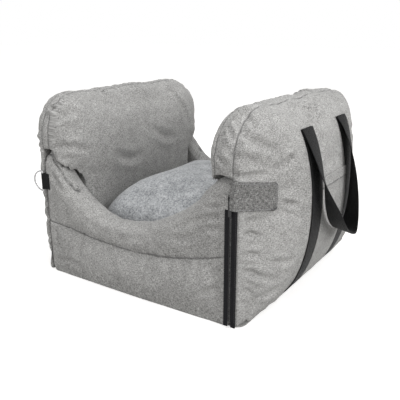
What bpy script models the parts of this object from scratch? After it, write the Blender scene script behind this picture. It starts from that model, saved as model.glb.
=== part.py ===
"""A padded dog car seat.

Two tall bolsters, front and rear, stand across the ends of a padded box. Two lower side walls with
scooped tops join them, and a domed cushion lies inside. The front bolster is held by a zip at each
front corner and folds outwards about its foot when the zips are open. The front is +X, the near
side wall is at -Y, and the origin lies on the floor under the middle of the seat.
"""
import math

import bmesh
import bpy
from mathutils import Vector

# The overall seat
SEAT_WIDTH = 0.54               # between the outer faces of the side walls
SEAM_LENGTH = 0.482             # between the corner seams of the rear and the front bolster
BOLSTER_HEIGHT = 0.41           # floor to the top seam of a bolster
GAP = 0.0003                    # between sewn or resting pieces
RUNNING_GAP = 0.0006            # between pieces that slide past each other
OVERRUN = 0.02                  # how far a cutter stands past what it cuts
SHARP_FROM_DEGREES = 35

# Base
FLOOR_FABRIC = 0.002
FLOOR_MARGIN = 0.008            # the floor fabric ends this far inside the outer faces
FLOOR_CORNER = 0.02
BASE_FOAM = 0.04
LINING = 0.0015
LINING_CORNER = 0.03
PLATE_CORNER_STEPS = 4
FOLD_HEIGHT = 0.003             # fold line of the front bolster, above the floor
HINGE_AHEAD = 0.028             # fold line of the front bolster, ahead of its corner seam

# Bolsters
COVER = 0.0018                  # fabric with its backing
TOP_RADIUS = 0.095
FOOT_RADIUS = 0.012
GUSSET = 0.039                  # strip between the two seams of a bolster
OUTER_CROWN = 0.09
INNER_CROWN = 0.035
RIDGE_INSET = 0.152             # from the outer face to the end of the ridge of the crown
CROWN_RING_SHARES = (1.0, 0.9887, 0.93, 0.82, 0.64, 0.4, 0.15)
SIDE_POINT_SHARES = (0.33, 0.66)
FOOT_ARC_STEPS = 2
TOP_ARC_STEPS = 6
SLOT_LENGTH = 0.3               # filling slot in the underside of a cover
SLOT_WIDTH = 0.02

# Side walls
WALL = 0.06
WALL_DIP = 0.163                # floor to the lowest point of the scoop
WALL_REAR_TOP = 0.285
WALL_FRONT_TOP = 0.29
DIP_PLACE = -0.03               # where the scoop is lowest, along X
REAR_PLATEAU = 0.021            # level stretch of the top at the rear end
FRONT_PLATEAU = 0.036
REAR_SCOOP_POWER = 2.4
FRONT_SCOOP_POWER = 1.9
CREST_ROUND = 0.034             # height of the rounded top
CREST_STEPS = 6
WALL_STATION_COUNT = 16
LOWER_BULGE = 0.014
UPPER_BULGE = 0.004
FLAT_END = 0.02                 # stretch at each end where the outer face stays flat
FOOT_TUCK = 0.008               # the outer face draws in this much at the floor
SEAM_DIP = 0.103                # floor to the level seam of the wall, at its lowest
SEAM_REAR_RISE = 0.022
SEAM_FRONT_RISE = 0.045
SEAM_PINCH = 0.0025
FOOT_TUCK_POWER = 8
SEAM_PINCH_POWER = 4
LOWER_HEIGHT_SHARES = (0.0, 0.12, 0.45, 0.8, 1.0)
LOWER_BULGE_SHARES = (0.0, 0.45, 1.0, 0.7, 0.0)
UPPER_HEIGHT_SHARES = (0.35, 1.0)
UPPER_BULGE_SHARES = (1.0, 0.0)

# Cushion
CUSHION_CLEARANCE = 0.003
CUSHION_CORNER = 0.06
CUSHION_SEAM_RISE = 0.06        # lining to the seam of the cushion
CUSHION_CROWN = 0.122
CUSHION_DRAW_IN = 0.006
CUSHION_TOP_SHARES = (1.0, 0.96, 0.86, 0.7, 0.5, 0.26)
CUSHION_FOOT_SHARES = (1.0, 0.95, 0.8)
CUSHION_RIDGE = 0.03            # half length of the ridge of its crown
CUSHION_SLOT = 0.15
CUSHION_CORNER_STEPS = 4
CUSHION_SIDE_SHARES = (0.25, 0.5, 0.75)

# Webbing of the straps and handles
WEBBING_WIDTH = 0.05
WEBBING = 0.0016
STRAP_PLACE = 0.092             # middle of each strap from the middle of the seat
STRAP_FOOT = 0.016
STRAP_DROP = 0.046              # top seam of a bolster to the top of its straps
HANDLE_SEAT = 0.0014            # strap face to the middle of the handle's end
HANDLE_DROP = 0.236
HANDLE_STAND_OFF = 0.004
HANDLE_TURN_SHARE = 0.5        # sine of the turn at which it stands off fully
HANDLE_STEP_COUNT = 48
# The next three tables run from the near end of a handle to its far end
HANDLE_PLACE_SHARES = (-1.0, -1.005, -1.02, -1.02, -0.97, -0.84, -0.56, -0.14, 0.25, 0.48,
                       0.59, 0.62, 0.64, 0.71, 0.86, 0.97, 1.0)
HANDLE_DROP_SHARES = (0.0, 0.08, 0.23, 0.4, 0.545, 0.67, 0.81, 0.93, 0.99, 1.0,
                      0.925, 0.78, 0.61, 0.42, 0.23, 0.08, 0.0)
HANDLE_TURNS_DEGREES = (0, 3, 11, 22, 40, 56, 65, 68, 67, 64, 56, 47, 39, 29, 17, 7, 0)

# Front pocket
POCKET_FABRIC = 0.0012
POCKET_FOOT = 0.03
POCKET_TOP = 0.262
POCKET_SIDE_GAP = 0.001

# Corner zips
ZIP_FOOT = 0.016
ZIP_TOP = 0.262
TAPE_WIDTH = 0.0125
TAPE = 0.0008
TAPE_HEM = 0.006                # outer part of the tape, sewn to the cover
COIL = 0.0022
COIL_SPLIT = 0.0016             # between the two coils
SLIDER_LENGTH = 0.016
SLIDER_WIDTH = 0.009
SLIDER_PLATE = 0.0009
SLIDER_POST = 0.0008
SLIDER_REST = 0.24              # foot of the closed slider
BAIL_LENGTH = 0.0076
BAIL_WIDTH = 0.0024
BAIL_WIRE = 0.0009
BAIL_GAP = 0.0018
PULL_LENGTH = 0.022
PULL_WIDTH = 0.0068
PULL = 0.0008
PULL_BAR = 0.001
PULL_WINDOW = 0.006
PULL_ARM = 0.0014
STOP_HEIGHT = 0.003

# Tabs over the zip ends
TAB_FOOT = 0.231
TAB_TOP = 0.285
TAB_FABRIC = 0.0012
TAB_START = 0.0012              # corner seam to the tab's hinge line
TAB_BRIDGE = 0.0093             # level stretch over the slider
TAB_LANDING_SHARE = 0.975
TAB_END_SHARE = 0.823
TAB_SEAM_FOOT = 0.265
TAB_SEAM_WIDTH = 0.0026
PATCH = 0.001
PATCH_MARGIN = 0.007
PATCH_SHARES = (0.96, 0.85)

# Rings at the rear corners
RING_WIRE = 0.0035
RING_HEIGHT = 0.046
RING_DEPTH = 0.028
RING_MIDDLE = 0.2175
RING_AHEAD = 0.0015             # bar of the ring, behind the rear corner seam
RING_ARC_STEPS = 10
RING_SIDES = 8
RING_STRAIGHT_SHARE = 0.86
LOOP_HEIGHT = 0.036
LOOP_WEBBING = 0.0012
LOOP_PLAY = 0.0004
LOOP_TAIL = 0.016
LOOP_SIDES = 20

# Sizes worked out from those above
FRONT_SEAM = SEAM_LENGTH / 2
REAR_SEAM = -SEAM_LENGTH / 2
HALF_WIDTH = SEAT_WIDTH / 2
PAD_FOOT = FLOOR_FABRIC + GAP
MIDDLE_HEIGHT = (PAD_FOOT + BOLSTER_HEIGHT) / 2
STRAP_TOP = BOLSTER_HEIGHT - STRAP_DROP
RIDGE_END = HALF_WIDTH - RIDGE_INSET
WALL_INNER = HALF_WIDTH - WALL
WELL_END = FRONT_SEAM - GUSSET - INNER_CROWN
LINING_FOOT = PAD_FOOT + BASE_FOAM + GAP
CUSHION_FOOT = LINING_FOOT + LINING + GAP
COIL_FOOT = GAP + SLIDER_PLATE + GAP
SLIDER_FACE = COIL_FOOT + COIL + GAP + SLIDER_PLATE
SIDES = (("near", -1), ("far", 1))
ENDS = (("rear", -1), ("front", 1))


def finish(name, colour, roughness, metallic=0.0):
    """A Principled material in one colour."""
    material = bpy.data.materials.new(name)
    material.use_nodes = True
    shader = material.node_tree.nodes["Principled BSDF"]
    shader.inputs["Base Color"].default_value = (*colour, 1.0)
    shader.inputs["Roughness"].default_value = roughness
    shader.inputs["Metallic"].default_value = metallic
    return material


def clear_scene():
    for item in list(bpy.data.objects):
        bpy.data.objects.remove(item, do_unlink=True)


def add_object(name, bm, material, pivot=(0, 0, 0)):
    """Put a closed mesh in the scene, its origin on the given pivot."""
    pivot = Vector(pivot)
    bmesh.ops.translate(bm, verts=bm.verts, vec=-pivot)
    bmesh.ops.recalc_face_normals(bm, faces=bm.faces)
    if bm.calc_volume(signed=True) < 0:
        bmesh.ops.reverse_faces(bm, faces=bm.faces)
    mesh = bpy.data.meshes.new(name)
    bm.to_mesh(mesh)
    bm.free()
    mesh.materials.append(material)
    item = bpy.data.objects.new(name, mesh)
    item.location = pivot
    bpy.context.scene.collection.objects.link(item)
    return item


def smooth(item):
    item.data.shade_smooth()
    item.data.set_sharp_from_angle(angle=math.radians(SHARP_FROM_DEGREES))
    return item


def loft(name, rings, material, closed=False, pivot=(0, 0, 0), turned=()):
    """One skin through rings of points, closed by flat ends or joined into a loop.

    Its faces are triangles that all split the same way, so that a skin and what fills it keep
    an even gap. Those of the turned sides split the other way, so that the two faces of a
    twisted band keep its thickness.
    """
    bm = bmesh.new()
    loops = [[bm.verts.new(point) for point in ring] for ring in rings]
    count = len(rings[0])
    pairs = list(zip(loops, loops[1:]))
    if closed:
        pairs.append((loops[-1], loops[0]))
    for first, second in pairs:
        for i in range(count):
            j = (i + 1) % count
            corners = [first[i], first[j], second[j], second[i]]
            if i in turned:
                corners = corners[1:] + corners[:1]
            bm.faces.new(corners[:3])
            bm.faces.new((corners[0], corners[2], corners[3]))
    if not closed:
        bm.faces.new(loops[0])
        bm.faces.new(loops[-1])
    return add_object(name, bm, material, pivot)


def prism(name, outline, axis, low, high, material, pivot=(0, 0, 0)):
    """A flat outline drawn out along one axis; the outline gives the other two coordinates."""
    def place(point, level):
        point = list(point)
        point.insert(axis, level)
        return point
    rings = [[place(point, level) for point in outline] for level in (low, high)]
    return loft(name, rings, material, pivot=pivot)


def box(name, low, high, material, pivot=(0, 0, 0)):
    outline = ((low[0], low[1]), (high[0], low[1]), (high[0], high[1]), (low[0], high[1]))
    return prism(name, outline, 2, low[2], high[2], material, pivot)


def combine(item, others, operation):
    """Cut others out of a solid, or join them to it, and keep only the result."""
    for other in others:
        modifier = item.modifiers.new(operation.title(), "BOOLEAN")
        modifier.operation = operation
        modifier.solver = "EXACT"
        modifier.object = other
    graph = bpy.context.evaluated_depsgraph_get()
    result = bpy.data.meshes.new_from_object(item.evaluated_get(graph))
    item.modifiers.clear()
    item.data = result
    for other in others:
        bpy.data.objects.remove(other, do_unlink=True)
    return item


def arc(centre, radius, start, stop, steps):
    """Points on a round stretch, from one angle to another in degrees."""
    points = []
    for i in range(steps + 1):
        angle = math.radians(start + (stop - start) * i / steps)
        points.append((centre[0] + radius * math.cos(angle), centre[1] + radius * math.sin(angle)))
    return points


def circle(centre, radius, count):
    angles = [2 * math.pi * i / count for i in range(count)]
    return [(centre[0] + radius * math.cos(angle), centre[1] + radius * math.sin(angle))
            for angle in angles]


def offset_line(points, distance):
    """A line beside an open line, at an even distance to its right."""
    normals = []
    for (x0, y0), (x1, y1) in zip(points, points[1:]):
        length = math.hypot(x1 - x0, y1 - y0)
        normals.append(((y1 - y0) / length, (x0 - x1) / length))
    result = []
    for i, (x, y) in enumerate(points):
        before = normals[max(i - 1, 0)]
        after = normals[min(i, len(normals) - 1)]
        mid_x = before[0] + after[0]
        mid_y = before[1] + after[1]
        reach = 2 * distance / (mid_x * mid_x + mid_y * mid_y)
        result.append((x + mid_x * reach, y + mid_y * reach))
    return result


def band(points, low, high):
    """The outline of a strip between two distances beside a line."""
    return offset_line(points, low) + offset_line(points, high)[::-1]


def level_at(points, value):
    """The second coordinate of a line where its first coordinate has a value."""
    for (a0, b0), (a1, b1) in zip(points, points[1:]):
        if min(a0, a1) <= value <= max(a0, a1):
            return b0 + (b1 - b0) * (value - a0) / (a1 - a0)
    return points[-1][1]


def stretch_of(points, low, high):
    """The part of a line whose first coordinate lies between two values."""
    inside = [point for point in points if low < point[0] < high]
    return [(low, level_at(points, low))] + inside + [(high, level_at(points, high))]


# Bolsters

def bolster_outline(inset):
    """Seam line of a bolster in Y and Z, well rounded at the top and nearly square at the foot."""
    side = HALF_WIDTH - inset
    foot = PAD_FOOT + inset
    top = BOLSTER_HEIGHT - inset
    foot_radius = FOOT_RADIUS - inset
    top_radius = TOP_RADIUS - inset
    foot_middle = foot + foot_radius
    top_middle = top - top_radius
    across = (-RIDGE_END, -RIDGE_END / 2, 0, RIDGE_END / 2, RIDGE_END)
    up = [foot_middle + (top_middle - foot_middle) * share for share in SIDE_POINT_SHARES]
    points = arc((foot_radius - side, foot_middle), foot_radius, 180, 270, FOOT_ARC_STEPS)
    points += [(y, foot) for y in across]
    points += arc((side - foot_radius, foot_middle), foot_radius, 270, 360, FOOT_ARC_STEPS)
    points += [(side, z) for z in up]
    points += arc((side - top_radius, top_middle), top_radius, 0, 90, TOP_ARC_STEPS)
    points += [(y, top) for y in across[::-1]]
    points += arc((top_radius - side, top_middle), top_radius, 90, 180, TOP_ARC_STEPS)
    points += [(-side, z) for z in up[::-1]]
    return points


def crown_height(crown, share):
    return crown * math.sqrt(1 - share * share)


def side_share(share):
    """How far towards the side a ring of the outer crown reaches.

    It is whole along the flat strip that the zip is sewn to, and falls evenly from there.
    """
    strip = crown_height(1, CROWN_RING_SHARES[1])
    return 1 - max(0, crown_height(1, share) - strip) / (1 - strip)


def bolster_rings(end, inset):
    """Rings from the outer crown over both seams of the gusset to the inner crown."""
    outline = bolster_outline(inset)
    seam = end * FRONT_SEAM
    inner_seam = seam - end * GUSSET
    rings = []
    for share in CROWN_RING_SHARES[::-1]:
        rings.append((seam + end * crown_height(OUTER_CROWN - inset, share), side_share(share), share))
    for share in CROWN_RING_SHARES:
        rings.append((inner_seam - end * crown_height(INNER_CROWN - inset, share), share, share))
    result = []
    for x, across, share in rings:
        ring = []
        for y, z in outline:
            ridge = max(-RIDGE_END, min(RIDGE_END, y))
            ring.append((x, ridge + (y - ridge) * across, MIDDLE_HEIGHT + (z - MIDDLE_HEIGHT) * share))
        result.append(ring)
    return result


def wall_recess(end, side, grow, material):
    """The room that the end of a side wall takes out of a bolster's lower corner."""
    top = WALL_FRONT_TOP if end > 0 else WALL_REAR_TOP
    inner = WALL_INNER - RUNNING_GAP - grow
    across = sorted((side * inner, side * (HALF_WIDTH + OVERRUN)))
    deep = WELL_END - OVERRUN
    along = sorted((end * deep, end * (FRONT_SEAM + grow)))
    low = (along[0], across[0], -OVERRUN)
    high = (along[1], across[1], top + RUNNING_GAP + grow)
    return box("recess", low, high, material)


def bolster_solid(name, end, inset, material):
    solid = loft(name, bolster_rings(end, inset), material)
    recesses = [wall_recess(end, side, inset, material) for _, side in SIDES]
    return combine(solid, recesses, "DIFFERENCE")


def filling_slot(middle, along, across, material):
    """The slot in the underside of a cover that its filling goes in through."""
    low = (middle[0] - along / 2, middle[1] - across / 2, -OVERRUN)
    high = (middle[0] + along / 2, middle[1] + across / 2, middle[2])
    return box("slot", low, high, material)


def make_bolsters(fabric, filling):
    for label, end in ENDS:
        cover = bolster_solid(label + "_bolster_cover", end, 0, fabric)
        hollow = bolster_solid("hollow", end, COVER, fabric)
        middle = (end * (FRONT_SEAM - GUSSET / 2), 0, PAD_FOOT + COVER + GAP)
        slot = filling_slot(middle, SLOT_WIDTH, SLOT_LENGTH, fabric)
        smooth(combine(cover, [hollow, slot], "DIFFERENCE"))
        smooth(bolster_solid(label + "_bolster_filling", end, COVER + GAP, filling))


def face_line():
    """The outer crown between the ridge's ends, as places ahead of the seam plane and heights."""
    half = BOLSTER_HEIGHT - MIDDLE_HEIGHT
    line = [(FRONT_SEAM + crown_height(OUTER_CROWN, share), MIDDLE_HEIGHT - half * share)
            for share in CROWN_RING_SHARES]
    line += [(FRONT_SEAM + crown_height(OUTER_CROWN, share), MIDDLE_HEIGHT + half * share)
             for share in CROWN_RING_SHARES[::-1]]
    return line


def swapped(points):
    return [(b, a) for a, b in points]


def face_band(low, high, inner, outer, end):
    """A strip lying on the outer crown, in X and Z, between two heights."""
    line = swapped(stretch_of(swapped(face_line()), low, high))
    return [(end * x, z) for x, z in band(line, inner, outer)]


def face_at(height, distance):
    """Where a line at some distance off the outer crown passes a height, along X."""
    return level_at(swapped(offset_line(face_line(), distance)), height)


def side_line():
    """The bolster's side in front of its seam, as places along X and distances outside the side face."""
    return [(FRONT_SEAM + crown_height(OUTER_CROWN, share), RIDGE_INSET * (side_share(share) - 1))
            for share in CROWN_RING_SHARES]


# Side walls

def wall_top(x):
    """Height of the scooped top of a side wall along X."""
    if x < DIP_PLACE:
        share = min(1, (DIP_PLACE - x) / (DIP_PLACE - REAR_SEAM - REAR_PLATEAU))
        return WALL_DIP + (WALL_REAR_TOP - WALL_DIP) * share ** REAR_SCOOP_POWER
    share = min(1, (x - DIP_PLACE) / (FRONT_SEAM - FRONT_PLATEAU - DIP_PLACE))
    return WALL_DIP + (WALL_FRONT_TOP - WALL_DIP) * share ** FRONT_SCOOP_POWER


def wall_seam(x):
    """Height of the level seam on the outer face of a side wall along X."""
    rise = SEAM_FRONT_RISE if x > 0 else SEAM_REAR_RISE
    return SEAM_DIP + rise * (x / FRONT_SEAM) ** 2


def wall_section(x, side, inset):
    """One cross-section of a side wall: bulged panels, a pinched seam and a rounded top."""
    reach = max(0, 1 - (x / (FRONT_SEAM - FLAT_END)) ** 2)
    seam = wall_seam(x)
    top = wall_top(x) - inset
    shoulder = top - CREST_ROUND + inset
    foot = PAD_FOOT + inset
    outer = HALF_WIDTH - inset
    half = WALL / 2 - inset
    section = []
    for height_share, bulge_share in zip(LOWER_HEIGHT_SHARES, LOWER_BULGE_SHARES):
        tuck = FOOT_TUCK * (1 - height_share) ** FOOT_TUCK_POWER
        tuck += SEAM_PINCH * height_share ** SEAM_PINCH_POWER * reach
        section.append((outer + LOWER_BULGE * bulge_share * reach - tuck,
                        foot + (seam - foot) * height_share))
    for height_share, bulge_share in zip(UPPER_HEIGHT_SHARES, UPPER_BULGE_SHARES):
        section.append((outer + UPPER_BULGE * bulge_share * reach,
                        seam + (shoulder - seam) * height_share))
    for i in range(1, CREST_STEPS + 1):
        angle = math.pi * i / CREST_STEPS
        section.append((outer - half + half * math.cos(angle),
                        shoulder + (top - shoulder) * math.sin(angle)))
    section.append((outer - 2 * half, seam))
    section.append((outer - 2 * half, foot))
    return [(x, side * y, z) for y, z in section]


def wall_solid(name, side, inset, material):
    """A side wall in cross-sections: one at each end, and the rest between its flat stretches."""
    reach = FRONT_SEAM - RUNNING_GAP - inset
    bulged = FRONT_SEAM - FLAT_END
    places = [bulged * (2 * i / (WALL_STATION_COUNT - 1) - 1) for i in range(WALL_STATION_COUNT)]
    rings = [wall_section(x, side, inset) for x in [-reach] + places + [reach]]
    return loft(name, rings, material)


def make_walls(fabric, foam):
    for label, side in SIDES:
        cover = wall_solid(label + "_wall_cover", side, 0, fabric)
        hollow = wall_solid("hollow", side, COVER, fabric)
        middle = (0, side * (HALF_WIDTH - WALL / 2), PAD_FOOT + COVER + GAP)
        slot = filling_slot(middle, SLOT_LENGTH, SLOT_WIDTH, fabric)
        smooth(combine(cover, [hollow, slot], "DIFFERENCE"))
        smooth(wall_solid(label + "_wall_foam", side, COVER + GAP, foam))


# Base and cushion

def rounded_plate(name, reach, half_width, corner, heights, material):
    """A flat plate with round corners, between two places along X."""
    left = reach[0] + corner
    right = reach[1] - corner
    across = half_width - corner
    outline = arc((left, -across), corner, 180, 270, PLATE_CORNER_STEPS)
    outline += arc((right, -across), corner, 270, 360, PLATE_CORNER_STEPS)
    outline += arc((right, across), corner, 0, 90, PLATE_CORNER_STEPS)
    outline += arc((left, across), corner, 90, 180, PLATE_CORNER_STEPS)
    return prism(name, outline, 2, heights[0], heights[1], material)


def make_base(fabric, foam):
    rounded_plate("base_fabric", (REAR_SEAM + FLOOR_MARGIN, FRONT_SEAM + HINGE_AHEAD),
                  HALF_WIDTH - FLOOR_MARGIN, FLOOR_CORNER, (0, FLOOR_FABRIC), fabric)
    reach = WELL_END - GAP
    across = WALL_INNER - GAP
    rounded_plate("base_foam", (-reach, reach), across, LINING_CORNER,
                  (PAD_FOOT, PAD_FOOT + BASE_FOAM), foam)
    rounded_plate("base_lining", (-reach, reach), across, LINING_CORNER,
                  (LINING_FOOT, LINING_FOOT + LINING), fabric)


def cushion_outline(inset):
    """Seam line of the cushion: round corners with the sides drawn in between them."""
    corner = CUSHION_CORNER - inset
    x = WELL_END - CUSHION_CLEARANCE - inset - corner
    y = WALL_INNER - CUSHION_CLEARANCE - inset - corner
    points = []
    for across, up, start in ((-x, -y, 180), (x, -y, 270), (x, y, 0), (-x, y, 90)):
        points += arc((across, up), corner, start, start + 90, CUSHION_CORNER_STEPS)
        turned = math.radians(start + 90)
        inward = (-math.cos(turned), -math.sin(turned))
        run = (-math.sin(turned) * 2 * x, math.cos(turned) * 2 * y)
        last = points[-1]
        for share in CUSHION_SIDE_SHARES:
            draw = CUSHION_DRAW_IN * (1 - (2 * share - 1) ** 2)
            points.append((last[0] + run[0] * share + inward[0] * draw,
                           last[1] + run[1] * share + inward[1] * draw))
    return points


def cushion_solid(name, inset, material):
    """Domed above its seam, and flat below where it rests on the lining."""
    seam = CUSHION_FOOT + CUSHION_SEAM_RISE
    foot_crown = (CUSHION_SEAM_RISE - inset) / crown_height(1, CUSHION_FOOT_SHARES[-1])
    rings = [(seam - crown_height(foot_crown, share), share) for share in CUSHION_FOOT_SHARES[::-1]]
    rings += [(seam + crown_height(CUSHION_CROWN - inset, share), share)
              for share in CUSHION_TOP_SHARES]
    result = []
    for z, share in rings:
        ring = []
        for x, y in cushion_outline(inset):
            ridge = max(-CUSHION_RIDGE, min(CUSHION_RIDGE, y))
            ring.append((x * share, ridge + (y - ridge) * share, z))
        result.append(ring)
    return loft(name, result, material)


def make_cushion(plush, filling):
    cover = cushion_solid("cushion_cover", 0, plush)
    hollow = cushion_solid("hollow", COVER, plush)
    slot = filling_slot((0, 0, CUSHION_FOOT + COVER + GAP), SLOT_WIDTH, CUSHION_SLOT, plush)
    smooth(combine(cover, [hollow, slot], "DIFFERENCE"))
    smooth(cushion_solid("cushion_filling", COVER + GAP, filling))
    return ["cushion_cover", "cushion_filling"]


# Straps, handles and pocket

def make_straps(webbing):
    for label, end in ENDS:
        outline = face_band(STRAP_FOOT, STRAP_TOP, GAP, GAP + WEBBING, end)
        for side_label, side in SIDES:
            middle = side * STRAP_PLACE
            smooth(prism(label + "_strap_" + side_label, outline, 1, middle - WEBBING_WIDTH / 2,
                         middle + WEBBING_WIDTH / 2, webbing))


def make_pocket(fabric):
    half = STRAP_PLACE - WEBBING_WIDTH / 2 - POCKET_SIDE_GAP
    outline = face_band(POCKET_FOOT, POCKET_TOP, GAP, GAP + POCKET_FABRIC, 1)
    smooth(prism("front_pocket", outline, 1, -half, half, fabric))


def smooth_value(values, place):
    """A value between those of a table, on a smooth line through them; a whole place is an entry."""
    i = min(int(place), len(values) - 2)
    step = place - i
    before, low, high, after = (values[min(max(i + j, 0), len(values) - 1)] for j in (-1, 0, 1, 2))
    slope = (high - before) / 2
    bend = before - 2.5 * low + 2 * high - after / 2
    rest = (3 * low - before - 3 * high + after) / 2
    return low + step * (slope + step * (bend + step * rest))


def handle_station(share):
    """Middle and width direction of the hanging loop, from its near end at 0 to its far end at 1."""
    place = share * (len(HANDLE_DROP_SHARES) - 1)
    twist = math.radians(smooth_value(HANDLE_TURNS_DEGREES, place))
    height = STRAP_TOP - HANDLE_DROP * smooth_value(HANDLE_DROP_SHARES, place)
    turn = min(1, math.sin(twist) / HANDLE_TURN_SHARE)
    off_face = GAP + WEBBING + HANDLE_SEAT + HANDLE_STAND_OFF * turn
    x = face_at(height, off_face) + WEBBING_WIDTH / 2 * math.sin(twist)
    y = STRAP_PLACE * smooth_value(HANDLE_PLACE_SHARES, place)
    return Vector((x, y, height)), Vector((-math.sin(twist), math.cos(twist), 0))


def make_handle(label, end, webbing):
    """A loop of webbing that leaves the strap tops flat and turns on edge as it hangs."""
    stations = [handle_station(i / HANDLE_STEP_COUNT) for i in range(HANDLE_STEP_COUNT + 1)]
    rings = []
    for i, (middle, width) in enumerate(stations):
        before = stations[max(i - 1, 0)][0]
        after = stations[min(i + 1, HANDLE_STEP_COUNT)][0]
        along = (after - before).normalized()
        half_width = width * (WEBBING_WIDTH / 2)
        half_thick = along.cross(width).normalized() * (WEBBING / 2)
        corners = (middle + half_width + half_thick, middle + half_width - half_thick,
                   middle - half_width - half_thick, middle - half_width + half_thick)
        rings.append([(end * point.x, point.y, point.z) for point in corners])
    pivot = (end * stations[0][0].x, 0, STRAP_TOP)
    return smooth(loft(label + "_handle", rings[::end], webbing, pivot=pivot, turned=(3,)))


# Corner zips

def beside(side, outline):
    """Place an outline given by X and by distance outside the side face."""
    return [(x, side * (HALF_WIDTH + out)) for x, out in outline]


def half_zip(label, side, toward, tape_cloth, nylon):
    """One tape with its coil, on the wall (-1) or on the bolster (1)."""
    holder = "bolster" if toward > 0 else "wall"
    inner = COIL_SPLIT / 2
    outer = inner + COIL
    coil = [(FRONT_SEAM + toward * x, out) for x, out in
            ((inner, COIL_FOOT), (outer, COIL_FOOT), (outer, COIL_FOOT + COIL), (inner, COIL_FOOT + COIL))]
    stop_room = STOP_HEIGHT + GAP if toward < 0 else 0
    prism("zip_" + label + "_" + holder + "_coil", beside(side, coil), 2,
          ZIP_FOOT + stop_room, ZIP_TOP - stop_room, nylon)
    low = COIL_FOOT + (COIL - TAPE) / 2
    hem = TAPE_WIDTH - TAPE_HEM
    tape = [(FRONT_SEAM + toward * x, out) for x, out in
            ((outer + GAP, low), (hem, low), (hem, GAP), (TAPE_WIDTH, GAP),
             (TAPE_WIDTH, low + TAPE), (outer + GAP, low + TAPE))]
    prism("zip_" + label + "_" + holder + "_tape", beside(side, tape), 2, ZIP_FOOT, ZIP_TOP, tape_cloth)


def make_stops(label, side, nylon):
    """A stop at each end of the wall's coil."""
    inner = FRONT_SEAM - COIL_SPLIT / 2
    outline = beside(side, ((inner, COIL_FOOT), (inner - COIL, COIL_FOOT),
                            (inner - COIL, COIL_FOOT + COIL), (inner, COIL_FOOT + COIL)))
    for end, low in (("foot", ZIP_FOOT), ("top", ZIP_TOP - STOP_HEIGHT)):
        prism("zip_" + label + "_" + end + "_stop", outline, 2, low, low + STOP_HEIGHT, nylon)


def make_slider(label, side, metal):
    """Two plates joined by a post between the coils, with a bail on the outer plate."""
    half = SLIDER_WIDTH / 2
    post = SLIDER_POST / 2
    back = GAP + SLIDER_PLATE
    front = SLIDER_FACE - SLIDER_PLATE
    profile = [(FRONT_SEAM + x, out) for x, out in
               ((-half, GAP), (half, GAP), (half, back), (post, back), (post, front), (half, front),
                (half, SLIDER_FACE), (-half, SLIDER_FACE), (-half, front), (-post, front),
                (-post, back), (-half, back))]
    body = prism("zip_" + label + "_slider", beside(side, profile), 2, SLIDER_REST,
                 SLIDER_REST + SLIDER_LENGTH, metal, pivot=(FRONT_SEAM, side * HALF_WIDTH, SLIDER_REST))
    middle = SLIDER_REST + SLIDER_LENGTH / 2
    outer = BAIL_LENGTH / 2
    inner = outer - BAIL_WIRE
    root = SLIDER_FACE - SLIDER_PLATE / 2
    bridge = SLIDER_FACE + BAIL_GAP
    arch = ((root, -outer), (bridge + BAIL_WIRE, -outer), (bridge + BAIL_WIRE, outer), (root, outer),
            (root, inner), (bridge, inner), (bridge, -inner), (root, -inner))
    outline = [(side * (HALF_WIDTH + out), middle + z) for out, z in arch]
    bail = prism("bail", outline, 0, FRONT_SEAM - BAIL_WIDTH / 2, FRONT_SEAM + BAIL_WIDTH / 2, metal)
    return combine(body, [bail], "UNION")


def make_pull(label, side, metal):
    """A flat tag whose top bar lies in the bail."""
    middle = SLIDER_REST + SLIDER_LENGTH / 2
    out = SLIDER_FACE + BAIL_GAP / 2
    half = PULL_WIDTH / 2
    levels = sorted((side * (HALF_WIDTH + out - PULL / 2), side * (HALF_WIDTH + out + PULL / 2)))
    top = middle + PULL_BAR / 2
    outline = ((FRONT_SEAM - half, middle - PULL_LENGTH), (FRONT_SEAM + half, middle - PULL_LENGTH),
               (FRONT_SEAM + half, top), (FRONT_SEAM - half, top))
    pull = prism("zip_" + label + "_pull", outline, 1, levels[0], levels[1], metal,
                 pivot=(FRONT_SEAM, side * (HALF_WIDTH + out), middle))
    window = box("window", (FRONT_SEAM - half + PULL_ARM, levels[0] - OVERRUN, top - PULL_BAR - PULL_WINDOW),
                 (FRONT_SEAM + half - PULL_ARM, levels[1] + OVERRUN, top - PULL_BAR), metal)
    return combine(pull, [window], "DIFFERENCE")


# Tabs over the zip ends

def tab_stretch(start_share, stop_share, out):
    """A line beside the bolster's side between two shares of its crown, in X and distance outside."""
    low = FRONT_SEAM + crown_height(OUTER_CROWN, start_share)
    high = FRONT_SEAM + crown_height(OUTER_CROWN, stop_share)
    return offset_line(stretch_of(side_line(), low, high), -out)


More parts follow.
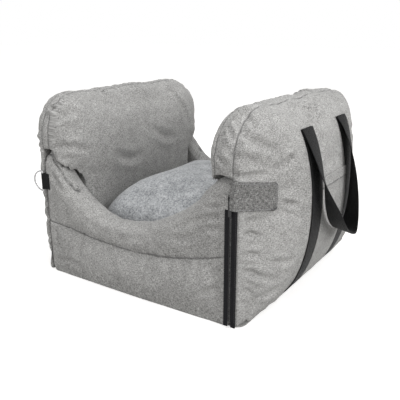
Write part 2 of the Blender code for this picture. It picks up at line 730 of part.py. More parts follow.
def make_tab(label, side, fabric, patch_cloth):
    """A flap sewn into the corner seam, which hides the zip's end and sticks to the bolster."""
    loop_face = GAP + PATCH
    hook_face = loop_face + GAP + PATCH
    loop = band(tab_stretch(*PATCH_SHARES, 0), -GAP, -loop_face)
    hook = band(tab_stretch(*PATCH_SHARES, 0), -loop_face - GAP, -hook_face)
    heights = (TAB_FOOT + PATCH_MARGIN, TAB_TOP - PATCH_MARGIN)
    prism("tab_" + label + "_loop_patch", beside(side, loop), 2, *heights, patch_cloth)
    hook_patch = prism("tab_" + label + "_hook_patch", beside(side, hook), 2, *heights, patch_cloth)
    hinge_x = FRONT_SEAM + TAB_START
    level = SLIDER_FACE + BAIL_GAP + BAIL_WIRE + RUNNING_GAP + TAB_FABRIC / 2
    line = [(hinge_x, level), (hinge_x + TAB_BRIDGE, level)]
    line += tab_stretch(TAB_LANDING_SHARE, TAB_END_SHARE, hook_face + GAP + TAB_FABRIC / 2)
    outline = band(line, TAB_FABRIC / 2, -TAB_FABRIC / 2)
    tab = smooth(prism("tab_" + label, beside(side, outline), 2, TAB_FOOT, TAB_TOP, fabric))
    seam_top = level - TAB_FABRIC / 2 - RUNNING_GAP
    seam_end = hinge_x + TAB_SEAM_WIDTH
    seam = ((hinge_x, GAP), (seam_end, GAP), (seam_end, seam_top), (hinge_x, seam_top))
    prism("tab_" + label + "_seam", beside(side, seam), 2, TAB_SEAM_FOOT, TAB_TOP, fabric)
    pivot = (hinge_x, side * (HALF_WIDTH + level), (TAB_FOOT + TAB_TOP) / 2)
    hold("tab_" + label + "_hinge", pivot, [tab.name, hook_patch.name])


# Rings at the rear corners

def ring_place(side):
    """Middle of the ring's upright bar."""
    out = GAP + LOOP_WEBBING + LOOP_PLAY + RING_WIRE / 2
    return Vector((REAR_SEAM - RING_AHEAD, side * (HALF_WIDTH + out), RING_MIDDLE))


def make_ring(label, side, steel):
    """A D of round wire, its straight bar upright and its bow to the rear."""
    place = ring_place(side)
    half = RING_HEIGHT / 2
    path = [(0, -half * RING_STRAIGHT_SHARE), (0, half * RING_STRAIGHT_SHARE)]
    for i in range(RING_ARC_STEPS + 1):
        angle = math.pi * i / RING_ARC_STEPS
        path.append((-RING_DEPTH * math.sin(angle), half * math.cos(angle)))
    rings = []
    for i, (x, z) in enumerate(path):
        before = Vector(path[i - 1])
        after = Vector(path[(i + 1) % len(path)])
        along = (after - before).normalized()
        ring = []
        for j in range(RING_SIDES):
            angle = 2 * math.pi * j / RING_SIDES
            out = RING_WIRE / 2 * math.cos(angle)
            across = RING_WIRE / 2 * math.sin(angle)
            ring.append(place + Vector((x + along.y * out, across, z - along.x * out)))
        rings.append(ring)
    return smooth(loft("d_ring_" + label, rings, steel, closed=True, pivot=place))


def make_ring_loop(label, side, webbing):
    """Folded webbing round the ring's bar, with a tail sewn to the side of the wall."""
    place = ring_place(side)
    bore = RING_WIRE / 2 + LOOP_PLAY
    low = RING_MIDDLE - LOOP_HEIGHT / 2
    high = RING_MIDDLE + LOOP_HEIGHT / 2
    loop = prism("d_ring_loop_" + label, circle(place, bore + LOOP_WEBBING, LOOP_SIDES), 2,
                 low, high, webbing)
    tail = ((place.x, GAP), (place.x + LOOP_TAIL, GAP), (place.x + LOOP_TAIL, GAP + 2 * LOOP_WEBBING),
            (place.x, GAP + 2 * LOOP_WEBBING))
    tail_piece = prism("tail", beside(side, tail), 2, low, high, webbing)
    combine(loop, [tail_piece], "UNION")
    hole = prism("hole", circle(place, bore, LOOP_SIDES), 2, low - OVERRUN, high + OVERRUN, webbing)
    smooth(combine(loop, [hole], "DIFFERENCE"))


def hold(name, place, pieces):
    """Carry pieces by an empty that stands on their joint's axis."""
    empty = bpy.data.objects.new(name, None)
    empty.location = place
    bpy.context.scene.collection.objects.link(empty)
    bpy.context.view_layer.update()
    for piece in pieces:
        item = bpy.data.objects[piece]
        item.parent = empty
        item.matrix_parent_inverse = empty.matrix_world.inverted()


def main():
    clear_scene()
    linen = finish("heather_linen", (0.27, 0.27, 0.28), 0.9)
    plush = finish("blue_grey_plush", (0.33, 0.36, 0.41), 0.95)
    webbing = finish("black_webbing", (0.02, 0.02, 0.022), 0.75)
    tape_cloth = finish("zip_tape", (0.015, 0.015, 0.016), 0.8)
    nylon = finish("black_nylon", (0.02, 0.02, 0.02), 0.45)
    metal = finish("dark_metal", (0.12, 0.12, 0.13), 0.35, 1.0)
    steel = finish("steel", (0.7, 0.7, 0.7), 0.25, 1.0)
    foam = finish("foam", (0.75, 0.73, 0.62), 0.95)
    fibre = finish("fibre_filling", (0.85, 0.85, 0.84), 0.95)
    hook = finish("hook_cloth", (0.1, 0.1, 0.1), 0.85)

    make_base(linen, foam)
    make_bolsters(linen, fibre)
    make_walls(linen, foam)
    hold("cushion_lift", (0, 0, CUSHION_FOOT), make_cushion(plush, fibre))
    make_straps(webbing)
    make_pocket(linen)
    for label, end in ENDS:
        make_handle(label, end, webbing)
    for label, side in SIDES:
        half_zip(label, side, -1, tape_cloth, nylon)
        half_zip(label, side, 1, tape_cloth, nylon)
        make_stops(label, side, nylon)
        make_slider(label, side, metal)
        make_pull(label, side, metal)
        make_tab(label, side, linen, hook)
        make_ring(label, side, steel)
        make_ring_loop(label, side, webbing)
    carried = ["front_bolster_cover", "front_bolster_filling", "front_pocket"]
    for label, side in SIDES:
        carried += ["front_strap_" + label, "zip_" + label + "_bolster_coil",
                    "zip_" + label + "_bolster_tape", "tab_" + label + "_loop_patch",
                    "tab_" + label + "_seam"]
    hold("front_bolster_hinge", (FRONT_SEAM + HINGE_AHEAD, 0, FOLD_HEIGHT), carried)


main()
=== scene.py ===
# %% [markdown]
# # A padded dog car seat
# Two puffy bolsters stand across the ends of a padded box. Two lower side walls with scooped tops
# join them, and a domed plush cushion lies inside. Webbing straps run up both bolsters and go over
# into hanging handles, and a zip at each front corner lets the front bolster fold out.
#
# The measured solids come from the frame. This script dresses them: it swells the pads with cloth
# simulation, sews seams and folds into them, and gives every piece a finish made of nodes.
# All lengths are in metres. The front is +X, and the near side wall is at -Y.

# %% Load the measured parts
import math
import random

import bmesh
import bpy
import numpy as np
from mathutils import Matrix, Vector, noise


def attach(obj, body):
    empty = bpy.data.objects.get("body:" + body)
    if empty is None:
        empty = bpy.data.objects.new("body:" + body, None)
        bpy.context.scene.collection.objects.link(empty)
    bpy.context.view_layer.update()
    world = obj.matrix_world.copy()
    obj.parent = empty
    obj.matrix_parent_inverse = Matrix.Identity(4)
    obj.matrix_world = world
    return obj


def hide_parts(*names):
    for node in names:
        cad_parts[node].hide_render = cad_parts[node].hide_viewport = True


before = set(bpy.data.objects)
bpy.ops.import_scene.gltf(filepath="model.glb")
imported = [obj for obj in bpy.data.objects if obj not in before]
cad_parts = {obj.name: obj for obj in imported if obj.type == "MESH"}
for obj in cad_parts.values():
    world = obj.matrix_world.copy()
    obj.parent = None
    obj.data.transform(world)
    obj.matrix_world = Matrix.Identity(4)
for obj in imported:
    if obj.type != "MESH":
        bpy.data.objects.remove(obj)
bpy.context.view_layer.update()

# %% [markdown]
# ## The sizes
# The frame gives the solids but not the numbers they were made from, so the ones that the soft
# shapes follow are written again here.

# %% Sizes of the seat
FRONT_SEAM = 0.241          # corner seam of the front bolster along X; the rear one mirrors it
HALF_WIDTH = 0.27
TOP = 0.41
GAP = 0.0003
PAD_FOOT = 0.0023
MIDDLE = (PAD_FOOT + TOP) / 2
GUSSET = 0.039              # strip between the two seams of a bolster
INNER_SEAM = FRONT_SEAM - GUSSET
OUTER_CROWN, INNER_CROWN = 0.09, 0.035
RIDGE_INSET = 0.152
STRIP_SHARE = 0.15          # flat strip ahead of the corner seam, of the height of the outer crown
RIDGE_END = HALF_WIDTH - RIDGE_INSET
TOP_RADIUS, FOOT_RADIUS = 0.095, 0.012
WALL = 0.06
WALL_INNER = HALF_WIDTH - WALL
WALL_DIP, WALL_REAR_TOP, WALL_FRONT_TOP, DIP_PLACE = 0.163, 0.285, 0.29, -0.03
REAR_PLATEAU, FRONT_PLATEAU = 0.021, 0.036
REAR_SCOOP_POWER, FRONT_SCOOP_POWER = 2.4, 1.9
CREST_ROUND = 0.034
SEAM_DIP, SEAM_REAR_RISE, SEAM_FRONT_RISE = 0.103, 0.022, 0.045
WELL_END = INNER_SEAM - INNER_CROWN
CUSHION_FOOT = 0.0444
CUSHION_SEAM = CUSHION_FOOT + 0.06
CUSHION_CROWN = 0.122
WEBBING_WIDTH, WEBBING, STRAP_PLACE = 0.05, 0.0016, 0.092
STRAP_FOOT, STRAP_TOP = 0.016, 0.364
ZIP_FOOT, ZIP_TOP, TAPE_WIDTH, TAPE = 0.016, 0.262, 0.0125, 0.0008
COIL, COIL_FOOT, COIL_SPLIT = 0.0022, 0.0015, 0.0016
TAB_FOOT, TAB_TOP = 0.231, 0.285
RING_MIDDLE = 0.2175
SIDES = (("near", -1), ("far", 1))
ENDS = (("rear", -1), ("front", 1))
HOLDERS = (("wall", -1), ("bolster", 1))         # what the two halves of a zip are sewn to
PAD_BODIES = {-1: "root", 1: "front_bolster"}    # the bodies behind and ahead of a front corner

# %% [markdown]
# ## Camera, floor and light
# The seat stands on plain pale ground. The camera looks from the front near corner, a little from
# above, with the view that fits the corners of the seat best. Three soft lamps light it: the key
# lamp ahead makes the outer face brightest, one hangs overhead, and a weaker one lights the near
# side. A bright surround fills the shadows.

# %% Camera
CAMERA_PLACE = Vector((0.704, -1.077, 0.5516))
CAMERA_TURN, CAMERA_PITCH = math.radians(33.28), math.radians(17.63)
FOCAL_PIXELS, FRAME_PIXELS, SENSOR = 553.1, 400, 36

camera = bpy.data.objects.new("camera", bpy.data.cameras.new("camera"))
camera.data.sensor_width = SENSOR
camera.data.lens = FOCAL_PIXELS * SENSOR / FRAME_PIXELS
camera.location = CAMERA_PLACE
camera.rotation_euler = (math.pi / 2 - CAMERA_PITCH, 0, CAMERA_TURN)
bpy.context.scene.collection.objects.link(camera)
bpy.context.scene.camera = camera
bpy.context.scene.view_settings.view_transform = "Standard"
print("lens", round(camera.data.lens, 2), "mm")

# %% [markdown]
# ## Arithmetic with sockets
# A finish is a formula over the surface. This small class wraps a node's output, so that a formula
# is written as plain arithmetic and its Math nodes appear by themselves. The second class holds a
# tree and adds any other node: first its settings, then the values or links of its sockets. The
# third is a tree that makes one material.

# %% Fields and finishes
class Field:
    """A value that changes over the surface."""

    def __init__(self, finish, socket):
        self.finish, self.socket = finish, socket

    def __add__(self, other):
        return self.finish.maths("ADD", self, other)

    def __sub__(self, other):
        return self.finish.maths("SUBTRACT", self, other)

    def __rsub__(self, other):
        return self.finish.maths("SUBTRACT", other, self)

    def __mul__(self, other):
        return self.finish.maths("MULTIPLY", self, other)

    def __abs__(self):
        return self.finish.maths("ABSOLUTE", self)

    __radd__, __rmul__ = __add__, __mul__


class Tree:
    """A tree of nodes, with one method that adds any of them."""

    def __init__(self, tree):
        self.tree = tree

    def node(self, kind, settings=None, values=None):
        made = self.tree.nodes.new(kind)
        for key, value in (settings or {}).items():
            if key == "stops":
                self.set_stops(made.color_ramp, value)
            else:
                setattr(made, key, value)
        for socket, value in (values or {}).items():
            self.put(made.inputs[socket], value)
        return made

    def set_stops(self, ramp, stops):
        while len(ramp.elements) < len(stops):
            ramp.elements.new(1)
        for element, (place, colour) in zip(ramp.elements, stops):
            element.position, element.color = place, (*colour, 1.0)

    def put(self, socket, value):
        """Set an input, or link it to another node's output."""
        if isinstance(value, Field):
            value = value.socket
        if isinstance(value, bpy.types.NodeSocket):
            self.tree.links.new(value, socket)
        else:
            socket.default_value = value


class Finish(Tree):
    """One material, with its plain numbers set on the shader's own sockets."""

    def __init__(self, name, **plain):
        self.material = bpy.data.materials.new(name)
        self.material.use_nodes = True
        super().__init__(self.material.node_tree)
        self.shader = self.tree.nodes["Principled BSDF"]
        self.set(**plain)

    def set(self, **plain):
        for socket, value in plain.items():
            self.put(self.shader.inputs[socket.replace("_", " ")], value)
        return self.material

    def field(self, kind, settings=None, values=None, output=0):
        return Field(self, self.node(kind, settings, values).outputs[output])

    def maths(self, operation, *values):
        return self.field("ShaderNodeMath", {"operation": operation}, dict(enumerate(values)))

    def own_place(self):
        return self.field("ShaderNodeTexCoord", output="Object")

    def attribute(self, name, output="Vector"):
        return self.field("ShaderNodeAttribute", {"attribute_name": name}, output=output)

    def stretched(self, place, sizes):
        return self.field("ShaderNodeVectorMath", {"operation": "MULTIPLY"}, {0: place, 1: sizes})

    def part(self, place, axis):
        return self.field("ShaderNodeSeparateXYZ", None, {0: place}, axis)

    def grain(self, place, scale=1.0, detail=2.0, rough=0.5):
        values = {"Vector": place, "Scale": scale, "Detail": detail, "Roughness": rough}
        return self.field("ShaderNodeTexNoise", None, values)

    def step(self, value, low, high, start=0.0, stop=1.0):
        values = {"Value": value, "From Min": low, "From Max": high, "To Min": start, "To Max": stop}
        return self.field("ShaderNodeMapRange", {"interpolation_type": "SMOOTHSTEP"}, values)

    def ramp(self, value, stops):
        return self.field("ShaderNodeValToRGB", {"stops": stops}, {0: value})

    def tint(self, factor, below, above):
        return self.field("ShaderNodeMix", {"data_type": "RGBA"}, {0: factor, 6: below, 7: (*above, 1.0)}, 2)

    def raise_surface(self, height, distance, strength=1.0):
        values = {"Height": height, "Distance": distance, "Strength": strength}
        self.set(Normal=self.field("ShaderNodeBump", None, values))


# %% [markdown]
# ## Floor, backdrop and lamps
# The floor keeps the soft shadow and is otherwise white to the camera. What lights the seat from
# below is darker. The surround is white where the camera or a shiny surface sees it, and a plain
# grey where it lights the seat.

# %% Floor and lamps
FLOOR_REACH = 12.0
FLOOR_SEEN, FLOOR_GLOW, FLOOR_UNSEEN = (0.8, 0.787, 0.77, 1), 0.58, (0.36, 0.355, 0.345, 1)
SURROUND_LIGHT = 0.55
WHITE = (1, 1, 1, 1)
LAMP_AIM = Vector((0, 0, 0.15))
LAMPS = (  # name, place, size, watts
    ("key", (2.3, -0.6, 1.1), 1.1, 33.0),
    ("overhead", (0.5, 0.0, 2.4), 2.0, 23.0),
    ("near side", (-0.5, -2.3, 0.8), 1.6, 15.0),
)


def seen_directly(nodes):
    """One where the camera, a reflection or something clear sees the surface."""
    path = nodes.node("ShaderNodeLightPath")
    seen = path.outputs["Is Camera Ray"]
    for kind in ("Is Glossy Ray", "Is Transmission Ray"):
        larger = nodes.node("ShaderNodeMath", {"operation": "MAXIMUM"}, {0: seen, 1: path.outputs[kind]})
        seen = larger.outputs[0]
    return seen


def make_floor():
    floor = Finish("pale_floor", Base_Color=FLOOR_UNSEEN, Roughness=1.0, Specular_IOR_Level=0.0)
    pale = floor.node("ShaderNodeBsdfDiffuse", None, {"Color": FLOOR_SEEN})
    glow = floor.node("ShaderNodeEmission", None, {"Color": WHITE, "Strength": FLOOR_GLOW})
    both = floor.node("ShaderNodeAddShader", None, {0: pale.outputs[0], 1: glow.outputs[0]})
    pick = floor.node("ShaderNodeMixShader", None,
                      {0: seen_directly(floor), 1: floor.shader.outputs[0], 2: both.outputs[0]})
    floor.put(floor.tree.nodes["Material Output"].inputs["Surface"], pick.outputs[0])
    mesh = bpy.data.meshes.new("floor")
    corners = [(x * FLOOR_REACH, y * FLOOR_REACH, -GAP) for x, y in ((-1, -1), (1, -1), (1, 1), (-1, 1))]
    mesh.from_pydata(corners, [], [(0, 1, 2, 3)])
    mesh.materials.append(floor.material)
    item = bpy.data.objects.new("floor", mesh)
    bpy.context.scene.collection.objects.link(item)


def make_surround():
    world = bpy.data.worlds.new("surround")
    world.use_nodes = True
    bpy.context.scene.world = world
    surround = Tree(world.node_tree)
    background = surround.tree.nodes["Background"]
    level = surround.node("ShaderNodeMapRange", None,
                          {"Value": seen_directly(surround), "To Min": SURROUND_LIGHT})
    surround.put(background.inputs["Color"], WHITE)
    surround.put(background.inputs["Strength"], level.outputs[0])


def make_lamps():
    for name, place, size, watts in LAMPS:
        lamp = bpy.data.lights.new(name, "AREA")
        lamp.shape, lamp.size, lamp.energy = "DISK", size, watts
        item = bpy.data.objects.new(name, lamp)
        item.location = place
        item.rotation_euler = (LAMP_AIM - Vector(place)).to_track_quat("-Z", "Y").to_euler()
        bpy.context.scene.collection.objects.link(item)


make_floor()
make_surround()
make_lamps()

# %% [markdown]
# ## Heather linen
# The cover is a coarse linen look: pale and dark grey yarns, spun unevenly, cross each other. The
# pads carry an attribute with the cloth's own coordinates, so the yarns follow each panel. Long
# narrow noise along each direction makes the slubs, and a fine even noise the speckle. A second
# attribute holds the distance to the nearest seam, for the broken dark line in the seam's groove,
# which is painted shade with some dust.

# %% Linen
SLUB_LONG, SLUB_NARROW = 150.0, 700.0
LINEN_GREYS = ((0.05, (0.085, 0.084, 0.082)), (0.4, (0.265, 0.262, 0.255)),
               (0.6, (0.385, 0.381, 0.372)), (0.95, (0.7, 0.695, 0.685)))
# How far the seams' grooves are darkened, and towards which colour: painted shade, with some dust.
SEAM_DUST_SHADE_AMOUNT, SEAM_DUST_SHADE_COLOUR = 0.75, (0.05, 0.05, 0.05)


def linen(name, dark=1.0, turned=False, seams=True, slub=0.85):
    cloth = Finish(name, Roughness=0.92, Specular_IOR_Level=0.2, Sheen_Weight=0.12, Sheen_Roughness=0.5)
    place = cloth.attribute("cloth")
    long, wide = (SLUB_LONG, SLUB_NARROW) if turned else (SLUB_NARROW, SLUB_LONG)
    warp = cloth.grain(cloth.stretched(place, (long, wide, 1)), rough=0.6)
    weft = cloth.grain(cloth.stretched(place, (wide, long, 1)), rough=0.6)
    fleck = cloth.grain(place, scale=520, rough=0.8)
    cloud = cloth.grain(place, scale=48, detail=3, rough=0.65)
    patch = cloth.grain(place, scale=7, detail=3, rough=0.6)
    yarn = (warp - 0.5) * slub + (weft - 0.5) * slub + (fleck - 0.5) * 1.35
    tone = 0.5 + yarn + (patch - 0.5) * 0.16 + (cloud - 0.5) * 0.34
    colour = cloth.ramp(tone, [(stop, [level * dark for level in grey]) for stop, grey in LINEN_GREYS])
    rise = yarn * 0.5
    if seams:
        groove = cloth.step(abs(cloth.attribute("seam", "Fac")), 0.0022, 0.0003)
        broken = cloth.step(cloth.grain(place, scale=120), 0.35, 0.6, 0.25, 1.0)
        # Painted shade, with some dust, darkens the seam's groove in a broken line.
        colour = cloth.tint(groove * broken * SEAM_DUST_SHADE_AMOUNT, colour, SEAM_DUST_SHADE_COLOUR)
        rise = rise - groove * 1.6
    cloth.raise_surface(rise, 0.0012, 0.6)
    return cloth.set(Base_Color=colour)


LINEN = linen("heather_linen")
# The tab's linen is half as bright: partly its own darker cloth, partly painted shade for the near side that
# it faces.
TAB_LINEN_DARK_AND_SHADED = linen("tab_linen_dark_and_shaded", dark=0.5, turned=True, seams=False, slub=1.5)
PLAIN_LINEN = linen("plain_linen", seams=False)
print("linen finishes made")

# %% [markdown]
# ## Plush, webbing and the small finishes
# Short plush is blue grey with fine matted pile, so its noise has no direction and its sheen lifts
# the edges. Webbing is black with fine ribs across it. Tape, nylon, metal, foam and thread are
# small or hidden, and get a faint mottling and scuffs.

# %% Plush
PLUSH_GREYS = ((0.12, (0.15, 0.155, 0.165)), (0.5, (0.38, 0.392, 0.405)), (0.88, (0.62, 0.63, 0.64)))


def make_plush():
    pile = Finish("plush", Roughness=0.95, Specular_IOR_Level=0.15, Sheen_Weight=0.35, Sheen_Roughness=0.4)
    place = pile.own_place()
    tuft = pile.grain(place, scale=260, detail=3, rough=0.7)
    swirl = pile.grain(place, scale=38, detail=3, rough=0.6)
    cloud = pile.grain(place, scale=9)
    tone = 0.5 + (tuft - 0.5) * 1.7 + (swirl - 0.5) * 0.6 + (cloud - 0.5) * 0.3
    groove = pile.step(abs(pile.attribute("seam", "Fac")), 0.003, 0.0004)
    # Painted shade darkens the groove of the edge seam.
    colour = pile.tint(groove * 0.6, pile.ramp(tone, PLUSH_GREYS), (0.08, 0.085, 0.1))
    pile.raise_surface(tuft * 0.7 + swirl * 1.4 - groove, 0.003, 0.8)
    return pile.set(Base_Color=colour)


# %% Webbing and small finishes
RIB_PITCH, YARN_PITCH = 0.0021, 0.0016
WEBBING_GREYS = ((0.2, (0.003, 0.003, 0.003)), (0.55, (0.009, 0.009, 0.0095)), (0.9, (0.026, 0.026, 0.028)))


def make_webbing():
    weave = Finish("black_webbing", Specular_IOR_Level=0.12, Sheen_Weight=0.06, Sheen_Roughness=0.35)
    place = weave.attribute("cloth")
    ribs = weave.maths("SINE", weave.part(place, 0) * (2 * math.pi / RIB_PITCH))
    yarns = weave.maths("SINE", weave.part(place, 1) * (2 * math.pi / YARN_PITCH))
    wear = weave.grain(weave.stretched(place, (90, 420, 1)), detail=3, rough=0.6)
    tone = ribs * yarns * 0.18 + (wear - 0.5) * 0.9 + 0.5
    weave.raise_surface(ribs * yarns * 0.5 + ribs * 0.4 + wear * 0.4, 0.0005, 0.8)
    return weave.set(Base_Color=weave.ramp(tone, WEBBING_GREYS), Roughness=0.55 + wear * 0.3)


def make_small(name, low, high, rough, metallic=0.0, scale=900.0, deep=0.0002, shine=0.5):
    small = Finish(name, Metallic=metallic, Specular_IOR_Level=shine)
    place = small.own_place()
    mottle = small.grain(place, scale=scale, detail=3, rough=0.6)
    scuff = small.grain(small.stretched(place, (300, 300, 60)))
    small.raise_surface(mottle * 0.6 + scuff * 0.4, deep, 0.5)
    colour = small.ramp(mottle, [(0.3, low), (0.7, high)])
    return small.set(Base_Color=colour, Roughness=rough + (scuff - 0.5) * 0.25)


PLUSH = make_plush()
WEBBING_FINISH = make_webbing()
TAPE_FINISH = make_small("zip_tape", (0.007, 0.007, 0.008), (0.02, 0.02, 0.022), 0.85, shine=0.1)
NYLON = make_small("black_nylon", (0.01, 0.01, 0.011), (0.024, 0.024, 0.026), 0.45, shine=0.3)
BLACK_METAL = make_small("black_metal", (0.008, 0.008, 0.009), (0.02, 0.02, 0.021), 0.38, shine=0.35)
STEEL = make_small("polished_steel", (0.32, 0.32, 0.33), (0.46, 0.46, 0.46), 0.24, 1.0, 500.0, 0.0001)
FOAM = make_small("base_foam", (0.62, 0.6, 0.5), (0.74, 0.71, 0.6), 0.95, 0.0, 420.0, 0.0008)
HOOK_CLOTH = make_small("hook_cloth", (0.02, 0.02, 0.02), (0.1, 0.1, 0.1), 0.9, 0.0, 1300.0, 0.0008)
BLACK_THREAD = make_small("black_thread", (0.015, 0.015, 0.016), (0.05, 0.05, 0.052), 0.7)
GREY_THREAD = make_small("grey_thread", (0.2, 0.2, 0.21), (0.36, 0.36, 0.37), 0.8)
print(len(bpy.data.materials), "materials in the file")

# %% [markdown]
# ## Lines and surfaces that the pads follow
# The same rules made the measured solids: an ellipse rises from the seam of a bolster to the ridge
# of its crown, and a power curve gives the scoop of a side wall.

# %% Shape rules
def clamp(value, low, high):
    return max(low, min(high, value))


def arc(centre, radius, start, stop, steps):
    angles = [math.radians(start + (stop - start) * i / steps) for i in range(steps + 1)]
    return [(centre[0] + radius * math.cos(a), centre[1] + radius * math.sin(a)) for a in angles]


def between(low, high, count):
    """Even places strictly inside a stretch."""
    return [low + (high - low) * (i + 1) / (count + 1) for i in range(count)]


def crown_height(crown, share):
    return crown * math.sqrt(max(0, 1 - share * share))


def side_share(rise):
    """How far towards the side the outer crown reaches where it has risen by a share of its height."""
    return 1 - max(0, rise - STRIP_SHARE) / (1 - STRIP_SHARE)


def bolster_outline(inset):
    side, foot, top = HALF_WIDTH - inset, PAD_FOOT + inset, TOP - inset
    foot_radius, top_radius = FOOT_RADIUS - inset, TOP_RADIUS - inset
    low, high = foot + foot_radius, top - top_radius
    points = arc((foot_radius - side, low), foot_radius, 180, 270, 3)
    points += [(y, foot) for y in between(foot_radius - side, side - foot_radius, 24)]
    points += arc((side - foot_radius, low), foot_radius, 270, 360, 3)
    points += [(side, z) for z in between(low, high, 14)]
    points += arc((side - top_radius, high), top_radius, 0, 90, 12)
    points += [(y, top) for y in between(side - top_radius, top_radius - side, 20)]
    points += arc((top_radius - side, high), top_radius, 90, 180, 12)
    points += [(-side, z) for z in between(high, low, 14)]
    return points


def wall_top(x):
    if x < DIP_PLACE:
        share = min(1, (DIP_PLACE - x) / (DIP_PLACE + FRONT_SEAM - REAR_PLATEAU))
        return WALL_DIP + (WALL_REAR_TOP - WALL_DIP) * share ** REAR_SCOOP_POWER
    share = min(1, (x - DIP_PLACE) / (FRONT_SEAM - FRONT_PLATEAU - DIP_PLACE))
    return WALL_DIP + (WALL_FRONT_TOP - WALL_DIP) * share ** FRONT_SCOOP_POWER


def wall_seam(x):
    rise = SEAM_FRONT_RISE if x > 0 else SEAM_REAR_RISE
    return SEAM_DIP + rise * (x / FRONT_SEAM) ** 2


def face_at(height, distance=0.0):
    """How far ahead of the middle the outer crown stands at a height, plus a distance off it."""
    half = TOP - MIDDLE
    share = clamp((height - MIDDLE) / half, -0.999, 0.999)
    x, slope = crown_height(OUTER_CROWN, share), OUTER_CROWN * share / half / math.sqrt(1 - share * share)
    return FRONT_SEAM + x + distance * math.sqrt(1 + slope * slope)


print("outer crown at mid height stands at", round(face_at(MIDDLE), 4))

# %% [markdown]
# ## Making and closing meshes
# A few helpers carry most of the work. One turns points and faces into a piece. One joins rings of
# points into a closed skin. One sweeps a flat section along a path, for webbing and ring wire, and
# writes the cloth coordinates as it goes. The last one says what a piece stands for.

# %% Mesh helpers
def add_piece(name, points, faces, finish):
    mesh = bpy.data.meshes.new(name)
    mesh.from_pydata([tuple(point) for point in points], [], [tuple(face) for face in faces])
    mesh.materials.append(finish)
    bm = bmesh.new()
    bm.from_mesh(mesh)
    bmesh.ops.recalc_face_normals(bm, faces=bm.faces)
    if bm.calc_volume(signed=True) < 0:
        bmesh.ops.reverse_faces(bm, faces=bm.faces)
    bm.to_mesh(mesh)
    bm.free()
    mesh.shade_smooth()
    item = bpy.data.objects.new(name, mesh)
    bpy.context.scene.collection.objects.link(item)
    return item


def skin(name, rings, finish, loop=False):
    count = len(rings[0])
    points = [point for ring in rings for point in ring]
    faces = []
    for k in range(len(rings) if loop else len(rings) - 1):
        a, b = k * count, (k + 1) % len(rings) * count
        for i in range(count):
            j = (i + 1) % count
            faces.append((a + i, a + j, b + j, b + i))
    if not loop:
        faces.append(range(count))
        faces.append(range(len(points) - count, len(points)))
    return add_piece(name, points, faces, finish)


def plain_mesh(item):
    """Turn what the modifiers show into the object's own mesh."""
    graph = bpy.context.evaluated_depsgraph_get()
    mesh = bpy.data.meshes.new_from_object(item.evaluated_get(graph))
    item.modifiers.clear()
    item.data = mesh
    return item


def get_points(mesh):
    points = np.empty(len(mesh.vertices) * 3)
    mesh.vertices.foreach_get("co", points)
    return points.reshape(-1, 3)


def get_normals(mesh):
    normals = np.empty(len(mesh.vertices) * 3, np.float32)
    mesh.vertices.foreach_get("normal", normals)
    return normals.reshape(-1, 3).astype(float)


def set_points(mesh, points):
    mesh.vertices.foreach_set("co", points.ravel())
    mesh.update()


def store(mesh, name, values):
    """Keep one vector or number for each point of a mesh."""
    values = np.asarray(values, np.float32)
    kind, key = ("FLOAT_VECTOR", "vector") if values.ndim == 2 else ("FLOAT", "value")
    layer = mesh.attributes.get(name) or mesh.attributes.new(name, kind, "POINT")
    layer.data.foreach_set(key, values.ravel())


def rounded_section(width, thick, corner_steps=2):
    """A flat section with round edges: offsets across and out."""
    radius, half = thick / 2, width / 2 - thick / 2
    points = []
    for side, start in ((1, -90), (-1, 90)):
        for i in range(2 * corner_steps + 1):
            angle = math.radians(start + 180 * i / (2 * corner_steps))
            points.append((side * half + radius * math.cos(angle), radius * math.sin(angle)))
    return points


def sweep(name, stations, section, finish, loop=False):
    """A section carried along stations of middle, across and out directions."""
    rings = [[middle + across * a + out * b for a, b in section] for middle, across, out in stations]
    item = skin(name, rings, finish, loop)
    along = [0.0]
    for (first, _, _), (second, _, _) in zip(stations, stations[1:]):
        along.append(along[-1] + (second - first).length)
    store(item.data, "cloth", [(run, a, b) for run in along for a, b in section])
    return item


def hand_over(item, body, slot, *nodes):
    """Say what a piece moves with and which measured solids it replaces. What it is made of, the slot, is
    not used.
    """
    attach(item, body)
    if nodes:
        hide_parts(*nodes)
    return item


# %% [markdown]
# ## Swelling the pads
# A pad starts a few millimetres thinner than its measured solid, because it swells. Remeshing gives
# it even small faces, and the cloth simulation blows it up against its own skin. Places that are
# sewn down or lie under a strap are held still, and no point may move far. What is sewn down then
# goes to its measured place. After that the skin is plain mesh, gets one subdivision, and the
# seams, puckers and folds are pressed into it.

# %% Remesh and swell
SWELL_FRAMES = 20
PRESSURE = 4.0
SHRINK = -0.035
THINNER = 0.0035
SEWN_GAP = 0.0002       # what is sewn down stays this far inside the measured solid
FLOOR_GAP = 0.0002      # the lowest that a pad reaches
NO_SEAM = 0.02          # a distance at which no seam shows


def remesh(item, voxel):
    change = item.modifiers.new("Even faces", "REMESH")
    change.mode, change.voxel_size, change.adaptivity = "VOXEL", voxel, 0
    plain_mesh(item)
    relax = item.modifiers.new("Relax", "SMOOTH")
    relax.factor, relax.iterations = 0.5, 2
    return plain_mesh(item)


